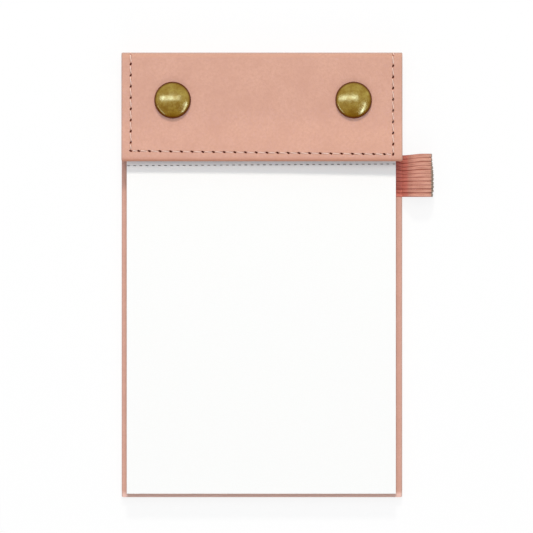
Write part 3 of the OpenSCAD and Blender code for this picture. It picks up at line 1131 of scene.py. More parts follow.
@dataclass
class Cover:
    """The folded cover: leather outside, lining inside, each in a low and a high piece."""

    fold: Fold
    seam: Seam
    snap_x: dict[Side, float]
    snap_y: float = SNAP_Y
    post_hole: float = 1.55
    flange_hole: float = 4.75
    flange_depth: float = 0.5
    side_edge: float = 0.32
    flap_edge: float = 0.9
    corner: float = 0.55
    over: float = 1.0
    through: float = -3.0
    loop_bed: tuple[float, float, float, float] = (35.5, 26.45, 41.05, 0.7)

    def slab(self, name: str, start: float, end: float, outer: float, inner: float,
             leather: bool) -> bpy.types.Object:
        """Makes a flat blank of one layer with its free edges rounded.

        Args:
            name: Name of the piece.
            start: First place along the pattern.
            end: Last place along the pattern.
            outer: Depth of its outer face.
            inner: Depth of its inner face.
            leather: Whether it is leather, whose outer edges are rounder.

        Returns:
            The blank, in millimetres.
        """
        fold = self.fold
        half = fold.width / 2
        face_edge = self.side_edge if leather else 0.03
        back_edge = 0.05 if leather else 0.2
        end_edge = {s: (self.flap_edge if s < 0 and leather else face_edge) for s in (start, end)}
        free = [s for s in (start, end) if abs(s - fold.middle_s) > 1e-6]
        insets = [0.0, 0.06, 0.2, 0.5, 1.0]
        xs = unique([*(side * (half - face_edge * i) for side in (-1, 1) for i in insets),
                     *spread(-half + 0.6, half - 0.6, 2.4)])
        rows = fold.rows(start, end)
        for s in free:
            inward = 1 if s == start else -1
            size = end_edge[s]
            rows = [r for r in rows if abs(r - s) > size + 0.2 or r == s]
            rows += [s + inward * size * i for i in insets]
        rows = unique(rows)

        def depths(x: float, s: float) -> tuple[float, float]:
            """Depth of the outer and of the inner face at a point, edges rounded."""
            side = half - abs(x)
            top = rounding(side, face_edge)
            bottom = rounding(side, back_edge)
            for edge in free:
                top = max(top, rounding(abs(s - edge), end_edge[edge]))
                bottom = max(bottom, rounding(abs(s - edge), back_edge))
            return outer + top, inner - bottom

        points: list[Point] = []
        for s in rows:
            for x in xs:
                top, bottom = depths(x, s)
                px, ps = self.round_corner(x, s, free)
                points += [(px, ps, -top), (px, ps, -bottom)]
        wide = len(xs)

        def at(row: int, column: int, low: int) -> int:
            """Index of a corner of the blank."""
            return 2 * (row * wide + column) + low

        faces: list[list[int]] = []
        for i in range(len(rows) - 1):
            for j in range(wide - 1):
                faces.append([at(i, j, 0), at(i, j + 1, 0), at(i + 1, j + 1, 0), at(i + 1, j, 0)])
                faces.append([at(i, j, 1), at(i + 1, j, 1), at(i + 1, j + 1, 1), at(i, j + 1, 1)])
            for j in (0, wide - 1):
                faces.append([at(i, j, 0), at(i + 1, j, 0), at(i + 1, j, 1), at(i, j, 1)])
        for j in range(wide - 1):
            for i in (0, len(rows) - 1):
                faces.append([at(i, j, 0), at(i, j, 1), at(i, j + 1, 1), at(i, j + 1, 0)])
        return mesh_piece(name, points, faces, scale=1.0)

    def round_corner(self, x: float, s: float, free: Sequence[float]) -> Flat:
        """Rounds the blank's free corners in plan.

        Args:
            x: Place across.
            s: Place along.
            free: Places of the free ends.

        Returns:
            The moved point.
        """
        size = self.corner
        for edge in free:
            inward = 1 if edge < self.fold.middle_s else -1
            across = abs(x) - (self.fold.width / 2 - size)
            along = size - inward * (s - edge)
            if across > 0 and along > 0:
                reach = math.hypot(across, along)
                share = max(across, along) / reach
                side = 1 if x > 0 else -1
                return (side * (self.fold.width / 2 - size + across * share),
                        edge + inward * (size - along * share))
        return x, s

    def dress(self, piece: bpy.types.Object, main: bpy.types.Material, edge: bpy.types.Material) -> None:
        """Gives the blank its face material and the cut edges their own.

        Args:
            piece: Flat blank.
            main: Material of the faces.
            edge: Material of the cut edges.
        """
        piece.data.materials.append(main)
        piece.data.materials.append(edge)
        for face in piece.data.polygons:
            face.material_index = 1 if abs(face.normal.z) < 0.35 else 0

    def round_hole(self, side: Side, radius: float, top: float, bottom: float,
                   back: bool) -> tuple[list[Point], list[list[int]]]:
        """Cutter of a round hole at a snap.

        Args:
            side: Which snap.
            radius: Radius of the hole.
            top: Height of its upper end over the outer face.
            bottom: Height of its lower end.
            back: Whether it goes through the back, and not the flap.

        Returns:
            The cutter's points and faces.
        """
        s = self.fold.back_s_at(self.snap_y) if back else self.snap_y - self.fold.line_y
        turns = [2 * math.pi * j / 48 for j in range(48)]
        x = self.snap_x[side]
        return hull_of_rings([[(x + radius * math.cos(t), s + radius * math.sin(t), level) for t in turns]
                              for level in (bottom, top)])

    def box(self, x0: float, x1: float, s0: float, s1: float, low: float,
            high: float) -> tuple[list[Point], list[list[int]]]:
        """Cutter with straight sides."""
        return hull_of_rings([[(x0, s0, z), (x1, s0, z), (x1, s1, z), (x0, s1, z)] for z in (low, high)])

    def carve_seam(self, piece: bpy.types.Object, start: float, end: float, face: Face,
                   hole: bpy.types.Material) -> None:
        """Cuts the seam's grooves and needle holes into a blank.

        Args:
            piece: Flat blank.
            start: First place along the pattern.
            end: Last place along the pattern.
            face: Face of the cover.
            hole: Material of the needle holes, which paints shade inside them.
        """
        seam = self.seam
        for side in Side:
            low = max(start - 0.5, seam.row_s(side.value * seam.x))
            high = min(end + 0.5, seam.back_row_s)
            path = [(side.value * seam.x, s) for s in unique([low, *self.fold.rows(start, end), high])
                    if low <= s <= high]
            carve(piece, [seam.groove(path, face)])
        for row in (seam.row_s, lambda _: seam.back_row_s):
            ends = [(x, row(x)) for x in (-seam.x, seam.x)]
            if start < ends[0][1] < end:
                carve(piece, [seam.groove(ends, face)])
        carve(piece, seam.slits(start, end, face), hole)

    def finish(self, piece: bpy.types.Object, bend: Bend, high: bool, slot: str,
               replaced: Sequence[str]) -> bpy.types.Object:
        """Folds a blank, bends it between its bodies and says what it stands for.

        Args:
            piece: Flat blank.
            bend: Not used.
            high: Whether it is the flap's half.
            slot: Not used.
            replaced: CAD nodes that the piece stands for.

        Returns:
            The piece.
        """
        self.fold.apply(piece)
        tidy_normals(piece, 32)
        bend_piece(piece, high)
        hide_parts(*replaced)
        return piece

    def build(self) -> list[bpy.types.Object]:
        """Builds the four pieces of the cover."""
        fold, made = self.fold, []
        grain = {True: HIGH_LEATHER.material(), False: LEATHER.material()}
        lined, edge = LINING.material(), CUT_EDGE.material()
        # Painted shade for the needle holes.
        hole = NEEDLE_HOLE_SHADE.material()
        x0, y0, y1, bed_z = self.loop_bed
        bed = self.box(x0, fold.width, fold.back_s_at(y1), fold.back_s_at(y0), self.through,
                       -bed_z)
        total = fold.thickness
        for high in (True, False):
            start, end = (fold.flap_s, fold.middle_s) if high else (fold.middle_s, fold.back_s)
            half = "high" if high else "low"

            leather = self.slab(f"leather_{half}", start, end, 0.0, fold.leather, True)
            self.dress(leather, grain[high], edge)
            self.carve_seam(leather, start, end, Face.OUTER, hole)
            holes = [self.round_hole(side, self.post_hole, self.over, self.through, not high)
                     for side in Side]
            carve(leather, holes)
            if not high:
                carve(leather, [self.round_hole(side, self.flange_hole, self.over, -self.flange_depth, True)
                                for side in Side])
                carve(leather, [bed])
            nodes = ["flap_leather"] if high else ["back_leather", "spine_leather"]
            made.append(self.finish(leather, LEATHER_BEND, high, "leather", nodes))

            lining = self.slab(f"lining_{half}", start, end, fold.leather, total, False)
            self.dress(lining, lined, edge)
            if high:
                for side in Side:
                    x = side.value * self.seam.x
                    carve(lining, [self.seam.groove([(x, self.seam.row_s(x)), (x, -0.9)], Face.INNER)])
                row = [(x, self.seam.row_s(x)) for x in (-self.seam.x, self.seam.x)]
                carve(lining, [self.seam.groove(row, Face.INNER)])
                carve(lining, self.seam.slits(start, end, Face.INNER), hole)
            carve(lining, holes)
            if not high:
                carve(lining, [bed])
            nodes = ["flap_lining"] if high else ["back_lining", "spine_lining"]
            made.append(self.finish(lining, LINING_BEND[high], high, "lining", nodes))
        return made


def inside(loop: Sequence[Flat], x: float, y: float) -> bool:
    """Whether a point lies inside a closed loop.

    Args:
        loop: Corners of the loop.
        x: Place across.
        y: Place along.

    Returns:
        True inside it.
    """
    odd = False
    for (ax, ay), (bx, by) in zip(loop, [*loop[1:], loop[0]]):
        if (ay > y) != (by > y) and x < ax + (y - ay) * (bx - ax) / (by - ay):
            odd = not odd
    return odd


@dataclass
class Pad:
    """The tear-off pad: perforated sheets, card backing and the glue along the bound edge."""

    x0: float = -45.7
    x1: float = 45.25
    y0: float = -73.95
    y1: float = 72.75
    low_z: float = 1.9
    paper_z: float = 2.7
    top_z: float = 5.9
    hole: float = 6.4
    hole_y: float = SNAP_Y
    hole_x: Flat = SNAP_X
    perf_y: float = 37.3
    perf_pitch: float = 2.09
    perf_long: float = 1.1
    perf_wide: float = 0.32
    perf_tilt: float = 0.37
    perf_steps: int = 43
    sheets: int = 32

    def loops(self, perforated: bool) -> list[list[Flat]]:
        """Outline of a sheet and of its holes.

        Args:
            perforated: Whether it has the row of slits.

        Returns:
            Closed loops, the outline first.
        """
        found = [[(self.x0, self.y0), (self.x1, self.y0), (self.x1, self.y1), (self.x0, self.y1)]]
        for x in self.hole_x:
            found.append(arc((x, self.hole_y), self.hole, 0, 352.5, 47))
        if perforated:
            c, n = math.cos(math.radians(self.perf_tilt)), math.sin(math.radians(self.perf_tilt))
            middle = (self.x0 + self.x1) / 2
            for i in range(self.perf_steps + 1):
                u = (i - self.perf_steps / 2) * self.perf_pitch
                half, side = self.perf_long / 2, self.perf_wide / 2
                corners = [(u - half, -side * 0.4), (u - half * 0.7, -side), (u + half * 0.7, -side),
                           (u + half, -side * 0.4), (u + half, side * 0.4), (u + half * 0.7, side),
                           (u - half * 0.7, side), (u - half, side * 0.4)]
                found.append([(min(max(middle + a * c - b * n, self.x0 + 0.06), self.x1 - 0.06),
                               self.perf_y + a * n + b * c) for a, b in corners])
        return found

    def filled(self, loops: Sequence[Sequence[Flat]]) -> tuple[list[Flat], list[list[int]]]:
        """Fills an outline, leaving its holes open.

        Args:
            loops: Closed loops, the outline first.

        Returns:
            The points and the triangles between them.
        """
        corners = [Vector(p) for loop in loops for p in loop]
        edges: list[tuple[int, int]] = []
        for loop in loops:
            base = len(edges)
            edges += [(base + i, base + (i + 1) % len(loop)) for i in range(len(loop))]
        found, _, triangles, *_ = delaunay_2d_cdt(corners, edges, [], 1, 1e-6)

        def open_at(face: Sequence[int]) -> bool:
            """Whether the middle of a triangle lies in one of the holes."""
            x, y = (sum(found[i][axis] for i in face) / 3 for axis in (0, 1))
            return any(inside(loop, x, y) for loop in loops[1:])

        points = [(p.x, p.y) for p in found]
        return points, [list(f) for f in triangles if not open_at(f)]

    def layer(self, loops: Sequence[Sequence[Flat]], filled: tuple[list[Flat], list[list[int]]], low: float,
              high: float, shift: Flat) -> tuple[list[Point], list[list[int]]]:
        """A flat layer between two heights.

        Args:
            loops: Its loops.
            filled: Points and triangles between them.
            low: Height of its lower face.
            high: Height of its upper face.
            shift: How far it is off its place.

        Returns:
            The points and faces.
        """
        flat, triangles = filled
        count = len(flat)
        points = [(x + shift[0], y + shift[1], z) for z in (low, high) for x, y in flat]
        faces = [f[::-1] for f in triangles] + [[i + count for i in f] for f in triangles]
        base = 0
        for loop in loops:
            size = len(loop)
            faces += [[base + i, base + (i + 1) % size, base + (i + 1) % size + count, base + i + count]
                      for i in range(size)]
            base += size
        return points, faces

    def build(self) -> list[bpy.types.Object]:
        """Builds the sheets, the card and the glue."""
        chance = random.Random(11)
        loops = self.loops(True)
        filled = self.filled(loops)
        pitch = (self.top_z - self.paper_z) / self.sheets
        layers = []
        for i in range(self.sheets):
            low = self.paper_z + i * pitch
            shift = (chance.uniform(-0.05, 0.05), chance.uniform(-0.07, 0.0))
            layers.append(self.layer(loops, filled, low + 0.018, low + pitch, shift))
        points, faces = gather(layers)
        sheets = mesh_piece("sheets", points, faces, shade_angle=30)
        sheets.data.materials.append(PAPER.material())
        self.settle(sheets, "paper", "paper_block")

        loops = self.loops(False)
        points, faces = self.layer(loops, self.filled(loops), self.low_z, self.paper_z, (0.0, 0.0))
        card = mesh_piece("card_backing", points, faces, shade_angle=30)
        card.data.materials.append(CARD.material())
        soften = card.modifiers.new("edge", "BEVEL")
        soften.width, soften.segments, soften.limit_method = 0.08 * MM, 2, "ANGLE"
        self.settle(card, "card", "pad_backing")

        glue = mesh_piece("binding_glue", *self.glue_skin(), shade_angle=50)
        glue.data.materials.append(GLUE.material())
        self.settle(glue, "binding", "pad_binding")
        return [sheets, card, glue]

    def glue_skin(self) -> tuple[list[Point], list[list[int]]]:
        """Skin of the brushed glue, whose outer face swells a little between its ends."""
        rings: list[Ring] = []
        for x in spread(self.x0, self.x1, 1.5):
            ends = min(x - self.x0, self.x1 - x)
            wave = 0.75 + 0.25 * math.sin(x * 0.9) * math.sin(x * 0.31 + 1)
            thick = 0.22 + 0.08 * smooth(ends / 3) * wave
            outer = self.y1 + thick
            rings.append([(x, self.y1 - 0.02, self.low_z), (x, outer - 0.1, self.low_z),
                          (x, outer, self.low_z + 0.3), (x, outer, self.top_z - 0.3),
                          (x, outer - 0.1, self.top_z - 0.03), (x, self.y1 - 0.02, self.top_z - 0.02)])
        return hull_of_rings(rings)

    @staticmethod
    def settle(piece: bpy.types.Object, slot: str, node: str) -> None:
        """Lets a piece ride on the back and stand for its CAD node."""
        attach(piece, Body.ROOT.value)
        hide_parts(node)


@dataclass
class Snap:
    """One snap: cap and socket on the flap, spring between them, stud and post on the back."""

    side: Side
    x: float
    y: float = SNAP_Y
    face_z: float = 7.9
    flap_z: float = 6.0
    plate_z: float = 5.6
    clench_z: float = 5.4
    skirt_z: float = 2.5
    wire_z: float = 3.65
    stud_z: float = 5.3
    lining_z: float = 1.9
    cap_radius: float = 6.2
    cap_height: float = 2.3
    dome: float = 18.0
    shoulder: float = 1.3
    post: float = 1.5
    post_hole: float = 1.55
    clench: float = 1.9
    rolled: float = 0.22
    wire: float = 0.33
    wire_half: float = 3.4
    wire_y: float = 2.6
    segments: int = 96

    @property
    def label(self) -> str:
        """Ending of the names of this snap's pieces."""
        return self.side.name.lower()

    def cap_profile(self) -> list[Flat]:
        """Section of the cap with its post: dome, shoulder, rolled foot, hollow and clenched post."""
        z, top = self.face_z, self.face_z + self.cap_height
        centre_r = self.cap_radius - self.shoulder
        drop = math.sqrt((self.dome - self.shoulder) ** 2 - centre_r ** 2)
        centre_z = top - self.dome + drop
        meet = math.degrees(math.atan2(drop, centre_r))
        dome = arc((0.0, top - self.dome), self.dome, 90, meet, 18)
        shoulder = arc((centre_r, centre_z), self.shoulder, meet, -9, 14)[1:]
        foot = [(self.cap_radius - 0.16, z), (self.cap_radius - 0.8, z), (self.cap_radius - 0.9, z + 0.12)]
        hollow = [(5.1, z + 0.6), (4.4, z + 1.05), (2.3, z + 1.55), (2.1, z + 1.2), (2.1, z)]
        plate, low = self.plate_z, self.clench_z
        post = [(self.post, z), (self.post, plate), (self.clench - 0.05, plate), (self.clench, plate - 0.05)]
        end = [(self.clench - 0.02, low + 0.06), (self.clench - 0.2, low + 0.01), (1.0, low),
               (0.7, low + 0.12), (0.0, low + 0.2)]
        return [(0.0, top), *dome[1:], *shoulder, *foot, *hollow, *post, *end]

    def socket_profile(self) -> list[Flat]:
        """Section of the socket: plate, rolled rim, and the seat of the spring."""
        z, plate, wire, roll = self.flap_z, self.plate_z, self.wire_z, self.rolled
        rim = arc((4.82, self.skirt_z + roll), roll, 0, -90, 5)
        lip = arc((3.72, self.skirt_z + roll), roll, -90, -180, 5)
        top = [(5.2, z), (5.3, z - 0.1), (5.3, z - 0.68), (5.22, z - 0.78), (5.1, z - 0.8), (5.04, z - 0.9)]
        seat = [(3.5, wire - 0.45), (3.56, wire - 0.4), (4.7, wire - 0.4), (4.7, wire + 0.4),
                (3.56, wire + 0.4), (3.5, wire + 0.47)]
        inside_plate = [(3.5, plate - 0.1), (3.4, plate), (self.post_hole, plate), (self.post_hole, z)]
        return [*top, *rim, *lip, *seat, *inside_plate]

    def stud_profile(self) -> list[Flat]:
        """Section of the stud: flared base, waist, round head and the dish for its post."""
        low, top, head_radius = self.lining_z, self.stud_z, 0.625
        base = [(self.post_hole, low), (4.9, low), (5.0, low + 0.1), (4.98, low + 0.25), (4.8, low + 0.4),
                (4.2, low + 0.48), (2.7, low + 0.5)]
        waist = [(2.34, low + 0.58), (2.2, low + 0.76), (2.18, top - 1.7), (2.2, top - 1.35),
                 (2.26, top - 1.25)]
        head = arc((2.75 - head_radius, top - head_radius), head_radius, -62, 90, 14)
        dish = [(2.05, top), (1.98, top - 0.08), (1.95, top - 0.2), (self.post_hole, top - 0.2)]
        return [*base, *waist, *head, *dish]

    def post_profile(self) -> list[Flat]:
        """Section of the post: flange with a turned ring, shank and clenched end."""
        flange = [(0.0, 0.06), (1.2, 0.06), (1.35, 0.0), (3.6, 0.0), (3.75, 0.06), (3.95, 0.06), (4.1, 0.0)]
        rim = arc((4.58, 0.12), 0.12, -90, 0, 4) + [(4.7, 0.36), (4.62, 0.46), (4.5, 0.5)]
        top = self.stud_z
        shank = [(self.post, 0.5), (self.post, top - 0.2)]
        end = [(self.clench - 0.04, top - 0.2), (self.clench, top - 0.16), (self.clench - 0.02, top - 0.06),
               (self.clench - 0.2, top), (1.0, top - 0.01), (0.75, top - 0.15), (0.0, top - 0.2)]
        return [*flange, *rim, *shank, *end]

    def spring_skin(self) -> tuple[list[Point], list[list[int]]]:
        """Both wires of the spring, bowed a little round the stud's waist."""
        radius, half, z = self.wire, self.wire_half, self.wire_z
        parts = []
        for turn in (-1, 1):
            rings: list[Ring] = []
            stations = spread(-half, half, 0.34)
            for i, u in enumerate(stations):
                end = 0.45 if i in (0, len(stations) - 1) else 1.0
                bow = turn * (self.wire_y + 0.05 * (u / half) ** 2)
                here, thin = self.y + bow, radius * end
                rings.append([(self.x + u, here + thin * math.cos(a), z + thin * math.sin(a))
                              for a in (2 * math.pi * j / 14 for j in range(14))])
            parts.append(hull_of_rings(rings))
        return gather(parts)

    def build(self) -> list[bpy.types.Object]:
        """Builds the five pieces of the snap."""
        centre = (self.x, self.y)
        # The cap's finish paints shade and dark reflection in a ring round its rim; the other finishes put
        # that ring past their edges.
        plain = MetalFinish(f"aged_brass_{self.label}", BRASS.bright, BRASS.dull, BRASS.rim, centre=centre)
        hidden = MetalFinish(f"brass_{self.label}", BRASS.bright, BRASS.dull, BRASS.dull, roughness=0.3,
                             centre=centre, rim_shade_radius=20.0)
        wire = MetalFinish(f"steel_{self.label}", STEEL.bright, STEEL.dull, STEEL.rim, centre=centre,
                           rim_shade_radius=20.0)
        cap_brass, brass, steel = plain.material(), hidden.material(), wire.material()
        made = []
        for kind, profile, body, finish in (
            ("cap", self.cap_profile(), Body.FLAP, cap_brass),
            ("socket", self.socket_profile(), Body.FLAP, brass),
            ("stud", self.stud_profile(), Body.ROOT, brass),
            ("post", self.post_profile(), Body.ROOT, brass),
        ):
            piece = lathe(f"{kind}_{self.label}", profile, centre, self.segments, shade_angle=38)
            piece.data.materials.append(finish)
            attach(piece, body.value)
            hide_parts(f"snap_{kind}_{self.label}")
            made.append(piece)
        points, faces = self.spring_skin()
        spring = mesh_piece(f"spring_{self.label}", points, faces, shade_angle=50)
        spring.data.materials.append(steel)
        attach(spring, Body.FLAP.value)
        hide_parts(f"snap_spring_{self.label}")
        made.append(spring)
        return made


@dataclass(frozen=True)
class FurrowKind:
    """One kind of furrow: how many lie in a rib's width, how deep and sharp they are, and their waver."""

    parts: int
    deep: float
    sharp: float
    waver: float


FURROWS = (FurrowKind(1, 0.9, 18.0, 0.1), FurrowKind(2, 0.5, 10.0, 0.3), FurrowKind(4, 0.26, 6.0, 0.3))


@cache
def furrow_traits(seed: int, step: int, parts: int) -> Triple:
    """Draws what makes one furrow unlike its neighbours.

    Args:
        seed: Seed of the whole loop.
        step: Which furrow of its kind it is.
        parts: Number of furrows of its kind in a rib's width.

    Returns:
        Its strength, and the rate and the start of its waver along the band.
    """
    chance = random.Random(seed * 1000 + step * 10 + parts)
    return chance.uniform(0.65, 1.1), chance.uniform(0.5, 1.1), chance.uniform(0.0, 6.3)


@dataclass
class PenLoop:
    """The elastic pen loop: one ribbed band from under the pad, out round the pen and back."""

    y0: float = 26.45
    y1: float = 41.05
    tab_x: float = 35.5
    mouth: Flat = (47.65, 1.3)
    start: Flat = (52.4, 2.95)
    end: Flat = (54.8, 2.95)
    radius: float = 2.9
    thick: float = 0.57
    ribs: int = 11
    rib_depth: float = 0.15
    rib_points: int = 16
    seed: int = 7
    mouth_radius: float = 0.6
    flare_run: float = 2.4
    lean: float = 0.36
    sag: float = 0.6
    sag_at: float = 0.7
    sag_wide: float = 0.26
    tip_run: float = 1.4
    tip_bulge: float = 1.9
    swell_out: float = 0.58
    swell_run: float = 0.55
    tuck: float = 0.32
    tuck_run: float = 0.09

    def path(self) -> list[tuple[Flat, Flat]]:
        """Points of the band's outer face in X and Z, with the outward direction at each."""
        gap = Vector(self.start) - Vector(self.mouth)
        mouth_r = self.mouth_radius
        swing = math.degrees(math.acos((mouth_r - self.radius) / gap.length))
        heading = math.degrees(math.atan2(gap.y, gap.x))
        up, down = heading + swing, heading - swing
        found: list[tuple[Flat, Flat]] = []

        def go(points: Iterable[Flat], outward: Callable[[Flat], Flat]) -> None:
            """Adds points with their outward directions."""
            found.extend((p, outward(p)) for p in points)

        def away(centre: Flat) -> Callable[[Flat], Flat]:
            """Direction away from a centre."""
            def direction(p: Flat) -> Flat:
                """Unit direction from the centre to p."""
                v = (Vector(p) - Vector(centre)).normalized()
                return v.x, v.y
            return direction

        def line(a: Flat, b: Flat, step: float) -> list[Flat]:
            """Points between two points, without the ends."""
            count = max(2, math.ceil((Vector(b) - Vector(a)).length / step))
            return [(a[0] + (b[0] - a[0]) * i / count, a[1] + (b[1] - a[1]) * i / count)
                    for i in range(1, count)]

        top_z, low_z = self.mouth[1] + mouth_r, self.mouth[1] - mouth_r
        rise = arc(self.mouth, mouth_r, 90, up, 5)
        over = arc(self.start, self.radius, up, 90, 14)
        upper = [(self.tab_x, top_z), *line((self.tab_x, top_z), (self.mouth[0], top_z), 2.0)]
        go(upper, lambda p: (0.0, 1.0))
        go(rise, away(self.mouth))
        slope = found[-1][1]
        go(line(rise[-1], over[0], 0.3), lambda p: slope)
        go(over, away(self.start))
        go(line(over[-1], (self.end[0], over[-1][1]), 0.4), lambda p: (0.0, 1.0))
        go(arc(self.end, self.radius, 90, -90, 40), away(self.end))
        low = self.end[1] - self.radius
        go(line((self.end[0], low), (self.start[0], low), 0.4), lambda p: (0.0, -1.0))
        under = arc(self.start, self.radius, -90, down, 8)
        go(under, away(self.start))
        slope = found[-1][1]
        fall = arc(self.mouth, mouth_r, down, -90, 3)
        go(line(under[-1], fall[0], 0.4), lambda p: slope)
        go(fall, away(self.mouth))
        lower = [*line((self.mouth[0], low_z), (self.tab_x, low_z), 2.0), (self.tab_x, low_z)]
        go(lower, lambda p: (0.0, -1.0))
        return found

    def furrow(self, v: float, x: float) -> float:
        """Depth of the ribbed face under its crests, from 0 to 1.

        Args:
            v: Place across the band in ribs, with a whole number at each main furrow.
            x: Place along the band, along which the fine furrows fade in and out.

        Returns:
            The share of the rib's depth.
        """
        found = 0.0
        for kind in FURROWS:
            step = round(v * kind.parts)
            if kind.parts > 1 and step % 2 == 0:
                continue
            strength, rate, start = furrow_traits(self.seed, step, kind.parts)
            deep = kind.deep * strength * (1.0 + kind.waver * math.sin(x * rate + start))
            found = max(found, deep * math.exp(-kind.sharp * (v * kind.parts - step) ** 2))
        return min(1.0, found)

    def fan(self, x: float, y: float) -> float:
        """Lets the ribs lean a little as they leave the cover, as on a worn loop.

        Args:
            x: Place along X.
            y: Place along Y in a straight band.

        Returns:
            The moved y.
        """
        share = 1 - smooth((x - self.mouth[0]) / (self.end[0] - self.mouth[0]))
        high = (y - self.y0) / (self.y1 - self.y0)
        sag = self.sag * math.exp(-((high - self.sag_at) / self.sag_wide) ** 2) * high
        return y - share * (self.lean * high ** 2 + sag)

    def swell(self, x: float, y: float) -> float:
        """How far the worn loop's outer turn stands out past an even one.

        Args:
            x: Place along X.
            y: Place along Y in a straight band.

        Returns:
            The distance, towards +X.
        """
        high = (y - self.y0) / (self.y1 - self.y0)
        share = smooth((x - self.end[0]) / self.radius)
        tuck = self.tuck * math.exp(-(high / self.tuck_run) ** 2)
        return share * (self.swell_out * smooth((1 - high) / self.swell_run) - tuck)

    def build(self) -> bpy.types.Object:
        """Builds the band."""
        count = self.ribs * self.rib_points
        across = [(self.y0 + (self.y1 - self.y0) * j / count, j / self.rib_points) for j in range(count + 1)]
        inner_y = unique([self.y1, self.y1 - 0.06, self.y1 - 0.15, *spread(self.y1 - 1, self.y0 + 1, 1.3),
                          self.y0 + 0.15, self.y0 + 0.06, self.y0])
        inner = [(y, self.thick - rounding(min(y - self.y0, self.y1 - y), 0.15)) for y in inner_y][::-1]
        rings: list[Ring] = []
        shades: list[float] = []
        for (x, z), (out_x, out_z) in self.path():
            level = smooth((x - self.mouth[0] + self.flare_run) / self.flare_run)
            ring: Ring = []
            tip = smooth((x - self.end[0] - self.tip_run) / self.tip_run)
            bulge = self.rib_depth * (1 + self.tip_bulge * tip)
            section: list[Triple] = []
            for y, v in across:
                edge = min(v, self.ribs - v)
                shade = self.furrow(v, x)
                section.append((y, bulge * shade * smooth(edge * 4) + rounding(edge * 1.3, 0.22), shade))
            for y, depth, shade in [*section, *((y, depth, 0.5) for y, depth in inner)]:
                px = x - out_x * depth
                fanned = self.fan(max(px, self.mouth[0]), y) * level + y * (1 - level)
                ring.append((px + self.swell(x, y), fanned, z - out_z * depth))
                shades.append(shade)
            rings.append(ring)
        points, faces = hull_of_rings(rings)
        piece = mesh_piece("pen_loop_band", points, faces, shade_angle=70)
        # The furrow attribute carries the furrows' depth to the elastic's material as the share of painted
        # shade.
        attribute = piece.data.attributes.new("furrow", "FLOAT", "POINT")
        attribute.data.foreach_set("value", shades)
        piece.data.materials.append(ELASTIC.material())
        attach(piece, Body.ROOT.value)
        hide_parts("pen_loop")
        return piece


@dataclass(frozen=True)
class Lamp:
    """A soft rectangular lamp that faces the object, with sizes in metres and its power in watts."""

    name: str
    place: Point
    size: Flat
    power: float
    sight: Sight
    tint: Colour
    spin: float = 0.0

    def build(self, aim: Point) -> None:
        """Adds the lamp.

        Args:
            aim: Point that it faces, in metres.
        """
        data = bpy.data.lights.new(self.name, "AREA")
        data.shape, data.size, data.size_y, data.energy = "RECTANGLE", *self.size, self.power
        data.color = self.tint
        lamp = bpy.data.objects.new(self.name, data)
        away = (Vector(self.place) - Vector(aim)).normalized()
        across = Vector((math.cos(math.radians(self.spin)), math.sin(math.radians(self.spin)), 0.0))
        across = (across - away * across.dot(away)).normalized()
        turn = Matrix((across, away.cross(across), away)).transposed().to_4x4()
        lamp.matrix_world = Matrix.Translation(self.place) @ turn
        lamp.visible_camera = False
        lamp.visible_diffuse = self.sight is Sight.DULL
        lamp.visible_glossy = self.sight is Sight.GLOSS
        bpy.context.scene.collection.objects.link(lamp)


WARM: Colour = (1.0, 0.95, 0.885)
COOL: Colour = (0.2, 0.32, 1.0)
LAMPS = (
    Lamp("key", (0.0, 2.98, 2.23), (0.5, 0.42), 69.0, Sight.DULL, WARM),
    Lamp("soft", (0.0, 1.53, 3.38), (1.6, 1.6), 31.0, Sight.DULL, WARM),
    Lamp("front", (0.0, -3.1, 1.8), (1.6, 1.2), 16.5, Sight.DULL, WARM),
    Lamp("bar", (-0.08, 0.112, 0.51), (0.4, 0.08), 0.85, Sight.GLOSS, COOL),
    Lamp("strip", (0.235, -0.118, 0.51), (0.27, 0.032), 0.55, Sight.GLOSS, COOL, spin=73),
    Lamp("arc", (-0.29, -0.14, 0.36), (0.26, 0.06), 0.45, Sight.GLOSS, COOL, spin=125),
)


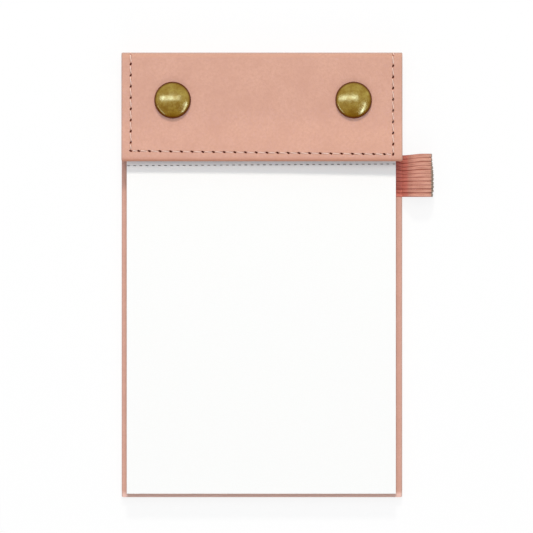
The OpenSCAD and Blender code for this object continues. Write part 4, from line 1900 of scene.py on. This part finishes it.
@dataclass
class Studio:
    """Floor, soft light and the camera of the photograph."""

    camera_x: float = 1.546
    camera_y: float = 2.876
    camera_z: float = 3006.0
    lens: float = 599.0
    aim: Point = (0.0, 0.03, 0.0)
    world_level: float = 0.525
    floor_shadow: float = 0.15
    floor_z: float = -0.4
    world_tint: Colour = (0.87, 0.93, 1.0)
    dark_side: Colour = (0.6, 0.44, 0.14)
    dark_end: float = -0.55
    bright_start: float = 0.12
    floor_tone: Colour = (0.97, 0.97, 0.97)
    floor_half: float = 4000.0

    def camera(self) -> None:
        """Looks straight down from far above, with the spine at the top of the picture."""
        data = bpy.data.cameras.new("camera")
        data.lens, data.sensor_width = self.lens, 36.0
        data.clip_start, data.clip_end = 0.1, 20.0
        camera = bpy.data.objects.new("camera", data)
        camera.location = Vector((self.camera_x, self.camera_y, self.camera_z)) * MM
        bpy.context.scene.collection.objects.link(camera)
        bpy.context.scene.camera = camera

    def seen(self, tree: bpy.types.NodeTree) -> bpy.types.NodeSocket:
        """Is 1 for rays from the camera, and for mirror and glass rays, and 0 for light."""
        path = add_node(tree, "ShaderNodeLightPath").outputs
        total = path["Is Camera Ray"]
        for name in ("Is Glossy Ray", "Is Transmission Ray"):
            both = add_node(tree, "ShaderNodeMath", {"operation": "ADD", "use_clamp": True})
            for index, value in enumerate((total, path[name])):
                fill(tree, both.inputs[index], value)
            total = both.outputs[0]
        return total

    def world(self) -> None:
        """Plain light from all round, seen as white, and dim in metal on the near side."""
        world = bpy.data.worlds.new("world")
        bpy.context.scene.world = world
        world.use_nodes = True
        tree = world.node_tree
        tree.nodes.clear()
        light = add_node(tree, "ShaderNodeBackground", Color=self.world_tint, Strength=self.world_level)
        white = add_node(tree, "ShaderNodeBackground", Color=WHITE)
        place = add_node(tree, "ShaderNodeTexCoord").outputs["Generated"]
        ahead = add_node(tree, "ShaderNodeSeparateXYZ", Vector=place).outputs["Y"]
        share = add_node(tree, "ShaderNodeMapRange", Value=ahead, From_Min=self.dark_end,
                         From_Max=self.bright_start).outputs["Result"]
        tone = add_node(tree, "ShaderNodeMix", {"data_type": "RGBA"})
        for index, value in ((0, share), (6, self.dark_side), (7, WHITE)):
            fill(tree, tone.inputs[index], value)
        studio = add_node(tree, "ShaderNodeBackground", Color=tone.outputs[2])
        path = add_node(tree, "ShaderNodeLightPath").outputs
        mirrored = mix_shaders(tree, path["Is Glossy Ray"], light, studio)
        seen = mix_shaders(tree, path["Is Camera Ray"], mirrored, white)
        add_node(tree, "ShaderNodeOutputWorld", Surface=seen.outputs[0])

    def floor(self) -> None:
        """A wide white floor that keeps a faint shadow."""
        half = self.floor_half
        points = [(x * half, y * half, self.floor_z) for x, y in ((-1, -1), (1, -1), (1, 1), (-1, 1))]
        floor = mesh_piece("floor", points, [[0, 1, 2, 3]])
        material = bpy.data.materials.new("floor")
        material.use_nodes = True
        tree = material.node_tree
        tree.nodes.clear()
        dull = add_node(tree, "ShaderNodeBsdfDiffuse", Color=self.floor_tone)
        glow = add_node(tree, "ShaderNodeEmission")
        pale = mix_shaders(tree, 1 - self.floor_shadow, dull, glow)
        shown = mix_shaders(tree, self.seen(tree), dull, pale)
        add_node(tree, "ShaderNodeOutputMaterial", Surface=shown.outputs[0])
        floor.data.materials.append(material)

    def build(self) -> None:
        """Builds the camera, the world, the floor and the lamps."""
        bpy.context.scene.view_settings.view_transform = "Standard"
        self.camera()
        self.world()
        self.floor()
        for lamp in LAMPS:
            lamp.build(self.aim)


def main() -> None:
    """Builds the studio and every sub-assembly."""
    logging.basicConfig(level=logging.INFO, format="%(message)s", force=True)
    Studio().build()
    fold = Fold()
    seam = Seam(fold)
    snaps = [Snap(side, x) for side, x in zip(Side, SNAP_X)]
    cover = Cover(fold, seam, {snap.side: snap.x for snap in snaps})
    made = cover.build()
    made.append(seam.build_threads("threads_high", True, ["flap_stitching"]))
    made.append(seam.build_threads("threads_low", False, ["back_stitching", "spine_stitching"]))
    made += Pad().build()
    for snap in snaps:
        made += snap.build()
    made.append(PenLoop().build())
    for piece in made:
        log.info("%s: %d faces", piece.name, len(piece.data.polygons))
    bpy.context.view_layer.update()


if __name__ == "__main__":
    main()
